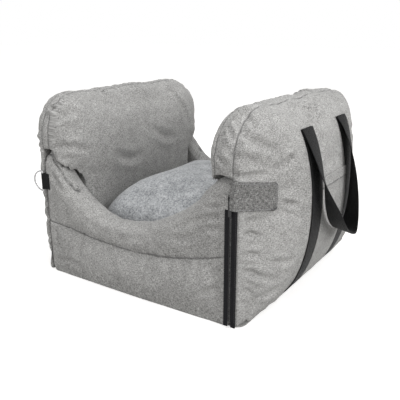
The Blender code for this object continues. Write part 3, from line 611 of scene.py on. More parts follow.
def swell(item, held, cap):
    """Blow up the pad's skin. Points with held at 1 stay where they are."""
    start = get_points(item.data)
    group = item.vertex_groups.new(name="held")
    for level in range(1, 11):
        chosen = np.flatnonzero(np.round(held * 10) == level)
        group.add([int(i) for i in chosen], level / 10, "REPLACE")
    change = item.modifiers.new("Cloth", "CLOTH")
    rules = change.settings
    rules.quality, rules.mass = 4, 0.25
    rules.tension_stiffness = rules.compression_stiffness = 12
    rules.shear_stiffness, rules.bending_stiffness = 5, 0.15
    rules.use_pressure, rules.uniform_pressure_force = True, PRESSURE
    rules.shrink_min = rules.shrink_max = SHRINK
    rules.vertex_group_mass, rules.pin_stiffness = "held", 1
    rules.effector_weights.gravity = 0
    change.collision_settings.use_collision = False
    change.point_cache.frame_start, change.point_cache.frame_end = 1, SWELL_FRAMES
    for number in range(1, SWELL_FRAMES + 1):
        bpy.context.scene.frame_set(number)
    plain_mesh(item)
    item.vertex_groups.clear()
    bpy.context.scene.frame_set(1)
    moved = get_points(item.data) - start
    length = np.linalg.norm(moved, axis=1)
    share = cap * np.tanh(length / cap) / np.maximum(length, 1e-9)
    set_points(item.data, start + moved * share[:, None])
    print(item.name, "swelled by", round(float(np.mean(np.minimum(length, cap))) * 1000, 2), "mm on average")


def puff(item, held, cap, sewn, free):
    """Swell a pad, press down what is sewn, and make its faces finer."""
    start, normals = get_points(item.data), get_normals(item.data)
    swell(item, held, cap)
    points = get_points(item.data)
    pressed = start + normals * (THINNER - SEWN_GAP)
    points = points + (pressed - points) * sewn[:, None]
    set_points(item.data, points)
    change = item.modifiers.new("Finer", "SUBSURF")
    change.levels = change.render_levels = 1
    plain_mesh(item)


def hand_over_pad(item, body, slot, fill, *nodes):
    item.data.shade_smooth()
    hand_over(item, body, slot, *nodes)
    print(item.name, len(item.data.polygons), "faces")
    return item


# %% [markdown]
# ## Folds and puckers
# A seam gathers the cloth into small valleys that run away from it, and a corner makes a few deep
# folds. The first come from noise that changes along the seam but not across it. The others are
# drawn as short lines on the pad, each with its own depth and width.

# %% Fold helpers
FOLD_STRENGTH = 1.6


def noise_at(points, scale, seed=0.0):
    return np.array([noise.noise(Vector((x * scale + seed, y * scale, z * scale))) for x, y, z in points])


def fade(value, low, high):
    """A smooth step from 0 at low to 1 at high, for arrays."""
    share = np.clip((value - low) / (high - low), 0, 1)
    return share * share * (3 - 2 * share)


def dip(distance, width):
    """One on a line, fading to 0 beside it."""
    return np.exp(-(distance / width) ** 2)


def line_distance(points, line):
    """Distance of each point to a broken line, and how far along it the nearest place is."""
    line = np.array(line, float)
    best, along = np.full(len(points), 9.0), np.zeros(len(points))
    count = len(line) - 1
    for k in range(count):
        run = line[k + 1] - line[k]
        share = np.clip((points - line[k]) @ run / (run @ run), 0, 1)
        gap = np.linalg.norm(points - line[k] - share[:, None] * run, axis=1)
        nearer = gap < best
        best[nearer] = gap[nearer]
        along[nearer] = (k + share[nearer]) / count
    return best, along


def press_folds(points, folds):
    """Valleys along lines, deepest a third of the way, with soft ridges beside them."""
    shift = np.zeros(len(points))
    for line, depth, width in folds:
        gap, along = line_distance(points, line)
        taper = np.sin(np.pi * np.clip(along, 0.02, 0.98) ** 0.8) ** 0.7
        shift += FOLD_STRENGTH * depth * taper * (0.45 * dip(gap - 2.1 * width, width) - dip(gap, width))
    return shift


def fold_table(*rows):
    """Lines in millimetres, with depth and width in tenths of a millimetre, all turned into metres."""
    return tuple(([[v / 1000 for v in point] for point in line], depth / 10000, width / 10000)
                 for *line, depth, width in rows)


def mirrored(folds, x=1, y=1, seed=0, strength=1.0):
    """The same folds on another side, each moved and deepened a little differently."""
    draw = random.Random(seed)
    result = []
    for line, depth, width in folds:
        lift, push = draw.uniform(-0.009, 0.009), draw.uniform(-0.006, 0.006)
        change = draw.uniform(0.6, 1.15)
        line = [(x * px, y * (py + push), pz + lift) for px, py, pz in line]
        result.append((line, depth * change * strength, width))
    return tuple(result)


# %% [markdown]
# ## The bolsters
# Each bolster is a fat cushion: a deep outer crown, a narrow gusset strip between two seams, and a
# flatter inner crown. The ends of the side walls notch its lower corners. Straps and the pocket lie
# on the outer crown, so the skin is held there at its measured place.

# %% Bolster solids
BOLSTER_VOXEL, BOLSTER_CAP = 0.0053, 0.007
REAR_SEAM_SHIFT = 0.022      # the rear bolster's gusset is narrower by this
PANEL_FRONT = 0.262          # front edge of the panel under the seat
NOTCH_ROOM, NOTCH_RISE = 0.0006, 0.0012     # beside a side wall's end and over it
OVER = 0.02                  # how far a notch cutter reaches past the bolster
CROWN_ANGLES = (6, 16, 26, 36, 46, 56, 65, 74, 82, 90)


def bolster_solid(name, end, inset):
    outline = bolster_outline(inset)
    seam = end * FRONT_SEAM
    shares = [math.sin(math.radians(angle)) for angle in CROWN_ANGLES]
    rings = [(seam + end * crown_height(OUTER_CROWN - inset, share),
              side_share(crown_height(1, share)), share) for share in shares]
    rings += [(seam - end * GUSSET - end * crown_height(INNER_CROWN - inset, share), share, share)
              for share in shares[::-1]]
    places = []
    for x, wide, share in rings:
        ring = []
        for y, z in outline:
            ridge = clamp(y, -RIDGE_END, RIDGE_END)
            ring.append(Vector((x, ridge + (y - ridge) * wide, MIDDLE + (z - MIDDLE) * share)))
        places.append(ring)
    return skin(name, places, LINEN)


def cut_notches(item, end, inset):
    """Room for the ends of the side walls, whose tops it follows."""
    inner, reach = WALL_INNER - NOTCH_ROOM - inset, WALL / 2 + NOTCH_ROOM + inset
    places = [WELL_END - OVER + (FRONT_SEAM + inset - WELL_END + OVER) * i / 12 for i in range(13)]
    for _, side in SIDES:
        rings = []
        for x in places:
            top = wall_top(end * x) + NOTCH_RISE + inset
            crest = [(inner + reach * (1 - math.cos(turn)), top - CREST_ROUND * (1 - math.sin(turn)))
                     for turn in map(math.radians, range(0, 91, 15))]
            outline = [(inner, -OVER)] + crest + [(HALF_WIDTH + OVER, top), (HALF_WIDTH + OVER, -OVER)]
            rings.append([Vector((end * x, side * y, z)) for y, z in outline])
        box = skin("notch", rings, LINEN)
        change = item.modifiers.new("Notch", "BOOLEAN")
        change.operation, change.solver, change.object = "DIFFERENCE", "EXACT", box
        plain_mesh(item)
        bpy.data.objects.remove(box, do_unlink=True)
    return item


# %% [markdown]
# Some parts of a bolster may not move: what lies on a side wall's end, and what lies under straps,
# pocket, zips and tabs. Others follow a rule: the seams, the puckers beside them and the run of the
# cloth. Each rule is a function of the points, so that it holds for any mesh of the pad.

# %% Places on a bolster
def tucked(points, end, inner, above):
    """Which points of a bolster lie on the end of a side wall."""
    x, y, z = end * points[:, 0], np.abs(points[:, 1]), points[:, 2]
    tops = np.array([wall_top(value) for value in np.clip(points[:, 0], -FRONT_SEAM, FRONT_SEAM)])
    return (y > inner) & (x < FRONT_SEAM - 0.001) & (z < tops + above)


def lies_flat(points, end):
    """One where straps, pocket, zips and tabs lie on the bolster, fading to 0 beside them."""
    x, y, z = end * points[:, 0], np.abs(points[:, 1]), points[:, 2]
    outer, beside_seam = fade(x, FRONT_SEAM, FRONT_SEAM + 0.012), np.abs(x - 0.245)
    strap = fade(np.abs(y - STRAP_PLACE), 0.042, 0.026) * fade(z, 0.392, 0.37) * outer
    if end < 0:
        ring = fade(np.abs(z - RING_MIDDLE), 0.045, 0.03) * fade(beside_seam, 0.04, 0.025)
        return np.maximum(strap, ring * fade(y, 0.235, 0.25))
    pocket = fade(y, 0.078, 0.066) * fade(z, 0.285, 0.268) * outer
    zipped = fade(y, 0.24, 0.255) * fade(z, 0.3, 0.285) * fade(beside_seam, 0.022, 0.014)
    tab_middle = (TAB_FOOT + TAB_TOP) / 2
    tab = fade(y, 0.172, 0.188) * fade(np.abs(z - tab_middle), 0.045, 0.032) * fade(x, 0.22, 0.235)
    return np.max([strap, pocket, zipped, tab], axis=0)


def bolster_seams(points, end):
    """Signed distance to the nearer seam, above zero on the gusset."""
    x = end * points[:, 0]
    return np.minimum(FRONT_SEAM - x, x - INNER_SEAM - (REAR_SEAM_SHIFT if end < 0 else 0))


def bolster_puckers(points, end, seed):
    """Valleys that run away from the seams over the crowns."""
    x, y, z = end * points[:, 0], points[:, 1], points[:, 2]
    outer = x > FRONT_SEAM - GUSSET / 2
    rise = np.where(outer, (x - FRONT_SEAM) / OUTER_CROWN, (INNER_SEAM - x) / INNER_CROWN)
    rise = np.clip(rise, 0, 1)
    share = np.sqrt(np.clip(1 - rise ** 2, 0.05, 1))
    wide = np.where(outer, np.clip(1 - np.maximum(rise - STRIP_SHARE, 0) / (1 - STRIP_SHARE), 0.2, 1), share)
    ridge = np.clip(y, -RIDGE_END, RIDGE_END)
    rim = np.stack([np.where(outer, 0.3, 0.0), ridge + (y - ridge) / wide, MIDDLE + (z - MIDDLE) / share], 1)
    fine, broad = noise_at(rim, 52, seed), noise_at(rim, 19, seed + 5)
    away = np.maximum(np.maximum(x - FRONT_SEAM, INNER_SEAM - x), 0) * 2.2
    gusset = (x > INNER_SEAM) & (x < FRONT_SEAM)
    near_seam = np.where(gusset, 0.3, np.exp(-away / 0.03))
    if end < 0:
        near_seam *= 0.3 + 0.25 * fade(z, 0.27, 0.33)
    return (0.0016 * fine + 0.0042 * broad) * near_seam


def cloth_place(points, end):
    """Coordinates of the cloth on a bolster, measured over the crown from its ridge."""
    x, y, z = end * points[:, 0], points[:, 1], points[:, 2]
    ridge = np.clip(y, -RIDGE_END, RIDGE_END)
    across, up = y - ridge, z - MIDDLE
    flat = np.maximum(np.hypot(across, up), 1e-6)
    outer = x > FRONT_SEAM
    crown = np.where(outer, OUTER_CROWN, INNER_CROWN)
    fallen = np.clip(crown - np.where(outer, x - FRONT_SEAM, INNER_SEAM - x), 0, crown)
    run = (flat + 0.38 * fallen ** 2 / crown) / flat
    return np.stack([ridge + across * run, up * run, np.where(outer, 3.0, 7.0)], 1)


def settle(points):
    """Let the edges that stand beside the underside panel touch the floor."""
    x, y, z = points[:, 0], np.abs(points[:, 1]), points[:, 2]
    beside = np.max([fade(y, 0.2625, 0.2645), fade(x, PANEL_FRONT, PANEL_FRONT + 0.003),
                     fade(-x, 0.2335, 0.236)], axis=0)
    drop = beside * np.clip(z - FLOOR_GAP, 0, 0.0085) * fade(z, 0.032, 0.008)
    points[:, 2] = np.maximum(z - drop, FLOOR_GAP)
    return points


# %% Bolster pads
def finish_bolster(item, end, seed, folds):
    mesh = item.data
    points, normals = get_points(mesh), get_normals(mesh)
    free = 1 - lies_flat(points, end)
    low = fade(points[:, 2], 0.004, 0.03)
    gap = bolster_seams(points, end)
    hidden = tucked(points, end, WALL_INNER - 0.003, 0.003)
    shift = bolster_puckers(points, end, seed) * free * low
    shift += noise_at(points, 11, seed + 9) * 0.004 * free * low
    seam = 0.0004 * dip(gap - 0.005, 0.0026) - 0.0018 * dip(gap, 0.0026)
    shift += seam * (0.2 + 0.8 * free) * (0.7 + 0.6 * noise_at(points, 30, seed + 2))
    shift += press_folds(points, folds) * free
    shift[hidden] = np.minimum(shift[hidden], 0)
    set_points(mesh, settle(points + normals * shift[:, None]))
    cloth = cloth_place(points, end)
    gusset = gap > 0
    side = gusset & (np.abs(normals[:, 1]) > np.abs(normals[:, 2]))
    cloth[gusset] = np.stack([points[gusset, 1], points[gusset, 0], np.full(gusset.sum(), 11.0)], 1)
    cloth[side] = np.stack([points[side, 2], points[side, 0], np.full(side.sum(), 13.0)], 1)
    store(mesh, "cloth", cloth)
    store(mesh, "seam", np.where(hidden, NO_SEAM, gap))


def make_bolster(label, end, seed, folds):
    item = cut_notches(bolster_solid(label + "_bolster", end, THINNER), end, THINNER)
    remesh(item, BOLSTER_VOXEL)
    start = get_points(item.data)
    inside = tucked(start, end, WALL_INNER - 0.004, 0.0055)
    sewn = np.maximum(lies_flat(start, end), fade(start[:, 2], 0.02, 0.006))
    held = np.max([sewn, inside, 0.9 * dip(bolster_seams(start, end), 0.004)], axis=0)
    puff(item, held, BOLSTER_CAP, sewn, (1 - sewn) * ~inside)
    finish_bolster(item, end, seed, folds)
    covered = [label + "_bolster_cover", label + "_bolster_filling"]
    return hand_over_pad(item, PAD_BODIES[end], "linen", 0.75, *covered)


# %% [markdown]
# The deep folds of the real seat are drawn as lines, on the near part of the front bolster's face
# and on the rear bolster's inner face. The other faces get mirrored copies, each moved a little.

# %% Folds of the bolsters
FACE_FOLDS = fold_table(
    ((293, -194, 243), (305, -172, 236), (318, -146, 225), 42, 45),
    ((256, -268, 219), (264, -252, 215), (276, -226, 212), 26, 50),
    ((254, -270, 192), (264, -251, 190), (279, -221, 182), 34, 45),
    ((254, -270, 150), (268, -246, 150), (280, -222, 144), 34, 50),
    ((254, -268, 124), (269, -246, 114), (282, -222, 99), (296, -189, 85), 40, 55),
    ((254, -267, 86), (265, -253, 78), (274, -236, 63), 30, 50),
    ((255, -267, 60), (266, -252, 50), 26, 40),
    ((251, -75, 407), (263, -30, 402), (278, 4, 389), (293, 21, 369), (304, 20, 345), 30, 60),
    ((256, -115, 406), (266, -60, 400), (281, -34, 387), (294, -20, 370), (305, -10, 348), 26, 60),
    ((246, -251, 373), (263, -242, 361), (278, -217, 348), (293, -189, 329), 32, 70),
    ((245, -269, 328), (260, -261, 333), (275, -231, 320), 30, 60),
    ((236, -219, 401), (251, -228, 393), (264, -229, 377), 30, 50),
    ((243, -269, 303), (261, -257, 298), (273, -235, 299), (287, -207, 290), 50, 50),
    ((248, -269, 291), (266, -250, 289), (279, -223, 288), 36, 35),
    ((290, -198, 302), (303, -169, 317), (310, -150, 321), 30, 70),
    ((289, -205, 125), (305, -172, 117), (317, -144, 122), 30, 60),
    ((275, -234, 54), (290, -201, 61), (304, -169, 68), 28, 60),
    ((225, -268, 318), (212, -270, 330), (205, -262, 345), 36, 50),
    ((238, -262, 360), (222, -252, 379), (206, -240, 390), 50, 45),
    ((238, -200, 406), (222, -208, 404), (205, -212, 402), 45, 40),
)
INNER_FOLDS = fold_table(
    ((-236, -247, 384), (-220, -249, 377), (-204, -249, 372), (-190, -243, 366), 80, 45),
    ((-230, -214, 404), (-205, -222, 399), (-189, -222, 390), 60, 40),
    ((-234, -84, 408), (-194, -101, 401), (-184, -92, 384), 40, 60),
    ((-215, 15, 409), (-197, 24, 405), (-186, 32, 390), (-180, 45, 370), 40, 60),
    ((-195, 105, 402), (-180, 145, 376), (-172, 170, 336), (-170, 186, 290), 45, 80),
    ((-213, -264, 352), (-193, -252, 364), (-181, -218, 366), 36, 60),
    ((-212, -245, 387), (-192, -238, 380), (-180, -207, 364), 30, 60),
    ((-196, -265, 300), (-180, -235, 296), (-170, -195, 280), 30, 70),
    ((-210, -60, 410), (-200, -20, 408), (-192, 12, 400), 30, 60),
    ((-170, -120, 260), (-167, -60, 235), (-167, -10, 240), 30, 100),
    ((-170, 30, 300), (-167, 80, 270), (-168, 130, 262), 30, 100),
)

FRONT_FOLDS = FACE_FOLDS + mirrored(FACE_FOLDS, y=-1, seed=4) + mirrored(INNER_FOLDS, x=-1, y=-1, seed=6)
REAR_FOLDS = INNER_FOLDS + mirrored(FACE_FOLDS, x=-1, seed=9, strength=0.5)
REAR_FOLDS += mirrored(FACE_FOLDS, x=-1, y=-1, seed=13)
front_bolster = make_bolster("front", 1, 3.0, FRONT_FOLDS)
make_bolster("rear", -1, 21.0, REAR_FOLDS)

# %% [markdown]
# ## The side walls
# A side wall is a flat pad with a scooped top. Its outer face bulges above and below a level seam,
# and a second seam runs along just under the crest. Its ends stay flat for the zip and the rear
# corner seam, and its inner face stays close to the cushion.

# %% Side wall solids
WALL_VOXEL, WALL_CAP = 0.005, 0.006
LOWER_BULGE, UPPER_BULGE, SEAM_TUCK, FOOT_TUCK = 0.014, 0.005, 0.0025, 0.003
CREST_SEAM_DROP = 0.0075
CREST_SEAM_END = -0.16       # ahead of this the crest's seam fades out


def wall_section(x, side, inset):
    reach = max(0, 1 - (x / (FRONT_SEAM - 0.02)) ** 2)
    seam, top = wall_seam(x), wall_top(x) - inset
    shoulder = top - CREST_ROUND + inset
    foot, outer, half = PAD_FOOT + inset, HALF_WIDTH - inset, WALL / 2 - inset
    section = []
    for share in np.linspace(0, 1, 15):
        bulge = LOWER_BULGE * math.sin(math.pi * share ** 0.9) * reach
        tuck = FOOT_TUCK * (1 - share) ** 8 + SEAM_TUCK * share ** 4 * reach
        section.append((outer + bulge - tuck, foot + (seam - foot) * share))
    for share in np.linspace(0.1, 1, 10):
        bulge = UPPER_BULGE * math.sin(math.pi * share) * reach - SEAM_TUCK * (1 - share) ** 4 * reach
        section.append((outer + bulge, seam + (shoulder - seam) * share))
    for i in range(1, 17):
        angle = math.pi * i / 16
        section.append((outer - half + half * math.cos(angle),
                        shoulder + (top - shoulder) * math.sin(angle)))
    for i in range(1, 17):
        section.append((outer - 2 * half, shoulder + (foot - shoulder) * i / 16))
    return [Vector((x, side * y, z)) for y, z in section]


def wall_solid(name, side, inset):
    reach = FRONT_SEAM - 0.0006 - inset
    return skin(name, [wall_section(reach * (i / 40 - 1), side, inset) for i in range(81)], LINEN)


def wall_marks(points, side):
    """Signed distance to the nearest seam, the outer side, and the distances to both seams."""
    x, y, z = points[:, 0], side * points[:, 1], points[:, 2]
    top = np.array([wall_top(value) for value in x])
    level = z - np.array([wall_seam(value) for value in x])
    places = np.linspace(-0.25, 0.25, 501)
    slope = np.gradient(np.array([wall_top(place) for place in places]), 0.001)
    lean = np.sqrt(1 + np.interp(x, places, slope) ** 2)
    crest = np.abs(z - (top - CREST_SEAM_DROP * lean)) / lean
    crest += 0.03 * fade(x, CREST_SEAM_END, CREST_SEAM_END + 0.03)
    outer = y > HALF_WIDTH - WALL / 2
    near = np.where(np.abs(level) < crest, level, crest)
    return np.where(outer, near, NO_SEAM), outer, level, crest


# %% Side wall pads
def finish_wall(item, side, seed, folds):
    mesh = item.data
    points, normals = get_points(mesh), get_normals(mesh)
    gap, outer, level, crest = wall_marks(points, side)
    ends = fade(np.abs(points[:, 0]), 0.21, 0.232)
    free = (1 - ends) * fade(points[:, 2], 0.004, 0.03) * np.where(outer, 1.0, 0.25)
    shift = noise_at(points, 13, seed) * 0.003 * free
    along = np.stack([points[:, 0], np.zeros(len(points)), np.where(level > 0, 0.2, 0.0)], 1)
    gather = noise_at(along, 48, seed + 3) * 0.0022 + noise_at(along, 20, seed + 7) * 0.0026
    shift += gather * np.exp(-np.minimum(np.abs(level), crest) / 0.022) * free
    shift -= 0.0016 * dip(gap, 0.0024) * outer
    shift += press_folds(points, folds) * (1 - 0.6 * ends)
    set_points(mesh, settle(points + normals * shift[:, None]))
    height = points[:, 2] + HALF_WIDTH - side * points[:, 1]
    store(mesh, "cloth", np.stack([points[:, 0], height, np.where(level > 0, 17.0, 19.0)], 1))
    store(mesh, "seam", gap)


def make_wall(label, side, seed, folds):
    item = wall_solid(label + "_wall", side, THINNER)
    remesh(item, WALL_VOXEL)
    start = get_points(item.data)
    _, outer, level, _ = wall_marks(start, side)
    ends = fade(np.abs(start[:, 0]), 0.205, 0.226)
    low = fade(start[:, 2], 0.02, 0.006)
    inner = np.where(side * start[:, 1] < WALL_INNER + 0.01, 0.7, 0.0)
    held = np.max([ends, low, inner, 0.9 * dip(level, 0.004) * outer], axis=0)
    sewn = np.maximum(ends * outer, low)
    puff(item, held, WALL_CAP, sewn, (1 - sewn) * outer)
    finish_wall(item, side, seed, folds)
    hand_over_pad(item, "root", "linen", 0.7, label + "_wall_cover", label + "_wall_foam")


NEAR_FOLDS = fold_table(
    ((224, -270, 255), (200, -270, 253), (174, -270, 235), 32, 55),
    ((223, -270, 240), (196, -270, 237), (165, -270, 220), 28, 50),
    ((222, -270, 223), (192, -271, 214), (157, -272, 191), 34, 60),
    ((222, -270, 200), (188, -271, 193), (148, -273, 169), 30, 60),
    ((218, -270, 272), (183, -266, 256), (161, -264, 235), 28, 60),
    ((108, -274, 153), (144, -273, 164), (175, -272, 175), 24, 70),
    ((186, -273, 108), (203, -272, 128), (221, -270, 133), 26, 50),
    ((177, -275, 55), (198, -273, 70), (221, -270, 75), 28, 60),
    ((-228, -270, 110), (-215, -271, 86), (-203, -272, 54), 30, 60),
    ((-232, -268, 26), (-176, -276, 40), (-129, -279, 38), 24, 70),
    ((-222, -270, 238), (-200, -270, 214), (-180, -271, 200), 26, 60),
)
make_wall("near", -1, 33.0, NEAR_FOLDS)
make_wall("far", 1, 45.0, mirrored(NEAR_FOLDS, y=-1, seed=17))

# %% [markdown]
# ## The cushion
# The loose cushion is plush all round: domed above its edge seam, flatter where it rests on the
# lining, with its sides drawn in between round corners.

# %% Cushion pad
CUSHION_VOXEL, CUSHION_CAP = 0.0055, 0.006
CUSHION_CORNER, CUSHION_ROOM, CUSHION_DRAW = 0.06, 0.003, 0.006
CUSHION_RIDGE = 0.03
LOWER_SHARES = (0.8, 0.86, 0.91, 0.95, 0.98)
DOME_ANGLES = (90, 84, 76, 67, 58, 48, 38, 28, 18, 8)


def cushion_outline(inset):
    corner = CUSHION_CORNER - inset
    x = WELL_END - CUSHION_ROOM - inset - corner
    y = WALL_INNER - CUSHION_ROOM - inset - corner
    points = []
    for across, up, start in ((-x, -y, 180), (x, -y, 270), (x, y, 0), (-x, y, 90)):
        points += arc((across, up), corner, start, start + 90, 10)
        turned = math.radians(start + 90)
        last = points[-1]
        for share in between(0, 1, 13):
            draw = CUSHION_DRAW * (1 - (2 * share - 1) ** 2)
            points.append((last[0] - math.sin(turned) * 2 * x * share - math.cos(turned) * draw,
                           last[1] + math.cos(turned) * 2 * y * share - math.sin(turned) * draw))
    return points


def cushion_solid(inset):
    foot_crown = (CUSHION_SEAM - CUSHION_FOOT - inset) / crown_height(1, LOWER_SHARES[0])
    rings = [(CUSHION_SEAM - crown_height(foot_crown, share), share) for share in LOWER_SHARES]
    for share in [math.sin(math.radians(angle)) for angle in DOME_ANGLES]:
        rings.append((CUSHION_SEAM + crown_height(CUSHION_CROWN - inset, share), share))
    places = []
    for z, share in rings:
        ring = []
        for x, y in cushion_outline(inset):
            ridge = clamp(y, -CUSHION_RIDGE, CUSHION_RIDGE)
            ring.append(Vector((x * share, ridge + (y - ridge) * share, z)))
        places.append(ring)
    return skin("cushion", places, PLUSH)


def finish_cushion(mesh):
    points, normals = get_points(mesh), get_normals(mesh)
    gap = points[:, 2] - CUSHION_SEAM
    reach = np.hypot(points[:, 0], points[:, 1])
    rim = points / np.maximum(reach, 0.02)[:, None] * 0.2
    rim[:, 2] = np.where(gap > 0, 0.4, 0)
    gather = noise_at(rim, 60, 3) * 0.002 + noise_at(rim, 26, 8) * 0.0025
    rests = fade(points[:, 2], CUSHION_FOOT + 0.003, CUSHION_FOOT + 0.02)
    shift = (gather * np.exp(-np.abs(gap) / 0.024) + noise_at(points, 14, 4) * 0.003) * rests
    shift -= 0.0022 * dip(gap, 0.0032)
    set_points(mesh, points + normals * shift[:, None])
    store(mesh, "seam", gap)


def make_cushion():
    item = remesh(cushion_solid(THINNER), CUSHION_VOXEL)
    start = get_points(item.data)
    rests = fade(start[:, 2], CUSHION_FOOT + 0.012, CUSHION_FOOT + 0.004)
    held = np.maximum(rests, 0.9 * dip(start[:, 2] - CUSHION_SEAM, 0.005))
    puff(item, held, CUSHION_CAP, np.zeros(len(start)), 1 - held)
    finish_cushion(item.data)
    hand_over_pad(item, "cushion", "plush", 0.7, "cushion_cover", "cushion_filling")


make_cushion()

# %% [markdown]
# ## Straps and handles
# One kind of webbing makes each strap and handle. The straps lie sewn down on the outer crown. At
# the top the webbing folds over and hangs free in a loop, turning on edge on its way down.

# %% Webbing path and pieces
BAND = rounded_section(WEBBING_WIDTH, WEBBING)
RISE_STEP = 0.001


def on_face(end, y, z, distance):
    """A point off the outer crown, with the direction out of it."""
    rise = (face_at(z + RISE_STEP, distance) - face_at(z - RISE_STEP, distance)) / (2 * RISE_STEP)
    return Vector((end * face_at(z, distance), y, z)), Vector((end, 0, -rise)).normalized()


def make_straps(count=48):
    for label, end in ENDS:
        for side_label, side in SIDES:
            stations = []
            for i in range(count + 1):
                z = STRAP_FOOT + (STRAP_TOP - STRAP_FOOT) * i / count
                middle, out = on_face(end, side * STRAP_PLACE, z, GAP + WEBBING / 2)
                stations.append((middle, Vector((0, end, 0)), out))
            name = label + "_strap_" + side_label
            strap = sweep(name + "_webbing", stations, BAND, WEBBING_FINISH)
            hand_over(strap, PAD_BODIES[end], "webbing", name)


# The next three tables run from the near end of a handle to its far end.
HANDLE_PLACES = (-1.0, -1.005, -1.02, -1.02, -0.97, -0.84, -0.56, -0.14, 0.25, 0.48,
                 0.59, 0.62, 0.64, 0.71, 0.86, 0.97, 1.0)
HANDLE_DROPS = (0.0, 0.08, 0.23, 0.4, 0.545, 0.67, 0.81, 0.93, 0.99, 1.0,
                0.925, 0.78, 0.61, 0.42, 0.23, 0.08, 0.0)
HANDLE_TURNS = (0, 3, 11, 22, 40, 56, 65, 68, 67, 64, 56, 47, 39, 29, 17, 7, 0)
HANDLE_DROP = 0.236
HANDLE_OFF, HANDLE_OFF_MORE = 0.0014, 0.004     # off the strap, and more where the handle is turned


def smooth_value(values, place):
    """A value between those of a table, on a smooth line through them."""
    i = min(int(place), len(values) - 2)
    step = place - i
    before, low, high, after = (values[clamp(i + j, 0, len(values) - 1)] for j in (-1, 0, 1, 2))
    slope, bend = (high - before) / 2, before - 2.5 * low + 2 * high - after / 2
    return low + step * (slope + step * (bend + step * (3 * low - before - 3 * high + after) / 2))


def handle_station(share):
    place = share * (len(HANDLE_DROPS) - 1)
    twist = math.radians(smooth_value(HANDLE_TURNS, place))
    height = STRAP_TOP - HANDLE_DROP * smooth_value(HANDLE_DROPS, place)
    off_face = GAP + WEBBING + HANDLE_OFF + HANDLE_OFF_MORE * min(1, math.sin(twist) / 0.5)
    x = face_at(height, off_face) + WEBBING_WIDTH / 2 * math.sin(twist)
    y = STRAP_PLACE * smooth_value(HANDLE_PLACES, place)
    return Vector((x, y, height)), Vector((-math.sin(twist), math.cos(twist), 0))


def make_handles(count=96):
    for label, end in ENDS:
        places = [handle_station(i / count) for i in range(count + 1)]
        stations = []
        for i, (middle, across) in enumerate(places):
            along = (places[min(i + 1, count)][0] - places[max(i - 1, 0)][0]).normalized()
            out = along.cross(across).normalized()
            stations.append([Vector((end * v.x, v.y, v.z)) for v in (middle, across, out)])
        name = label + "_handle"
        handle = sweep(name + "_webbing", stations, BAND, WEBBING_FINISH)
        hand_over(handle, name, "webbing", name)


make_straps()
make_handles()

# %% [markdown]
# ## The front pocket
# Between the front straps lies a flat patch pocket: one layer of the cover cloth with a turned hem
# along its top.

# %% Pocket
POCKET_FOOT, POCKET_TOP, POCKET_CLOTH = 0.03, 0.262, 0.0012
POCKET_HEM, POCKET_HEM_CLOTH, POCKET_SAG = 0.02, 0.0009, 0.0012


def make_pocket(columns=40, rows=70):
    half = STRAP_PLACE - WEBBING_WIDTH / 2 - 0.001
    points, flat = [], []
    for layer in (0, 1):
        for j in range(rows + 1):
            z = POCKET_FOOT + (POCKET_TOP - POCKET_FOOT) * j / rows
            hem = POCKET_HEM_CLOTH if POCKET_TOP - z < POCKET_HEM else 0.0
            for i in range(columns + 1):
                y = half * (2 * i / columns - 1)
                loose = math.sin(math.pi * i / columns)
                sag = POCKET_SAG * loose * math.sin(math.pi * j / rows) ** 0.5
                wave = noise.noise(Vector((y * 26, z * 20, 3))) * POCKET_SAG * loose
                off = GAP + (POCKET_CLOTH + hem if layer else 0) + sag + max(0, wave + POCKET_SAG / 2)
                points.append((face_at(z, off), y, z))
                flat.append((y, z, 23))
    wide, sheet_size = columns + 1, (columns + 1) * (rows + 1)
    faces = []
    for j in range(rows):
        for i in range(columns):
            a = j * wide + i
            faces.append((a, a + 1, a + wide + 1, a + wide))
            faces.append(tuple(sheet_size + v for v in (a, a + wide, a + wide + 1, a + 1)))
    border = list(range(wide)) + [j * wide + columns for j in range(1, rows + 1)]
    border += [rows * wide + i for i in range(columns - 1, -1, -1)]
    border += [j * wide for j in range(rows - 1, 0, -1)]
    for k, a in enumerate(border):
        b = border[(k + 1) % len(border)]
        faces.append((b, a, a + sheet_size, b + sheet_size))
    item = add_piece("front_pocket_cloth", points, faces, LINEN)
    store(item.data, "cloth", flat)
    store(item.data, "seam", [POCKET_TOP - POCKET_HEM - z for _, _, z in points])
    item.data.set_sharp_from_angle(angle=math.radians(50))
    hand_over(item, "front_bolster", "linen", "front_pocket")


make_pocket()

# %% [markdown]
# ## The base
# Under the seat lies one flat panel of the cover cloth. Inside, a slab of foam carries the lining
# that the cushion rests on.

# %% Base panel, foam and lining
PANEL_INSET, PANEL_CORNER, PANEL_CLOTH = 0.008, 0.02, 0.002
WELL_CORNER, FOAM_HEIGHT, FOAM_EDGE = 0.03, 0.04, 0.003
LINING_FOOT, LINING = 0.0426, 0.0015


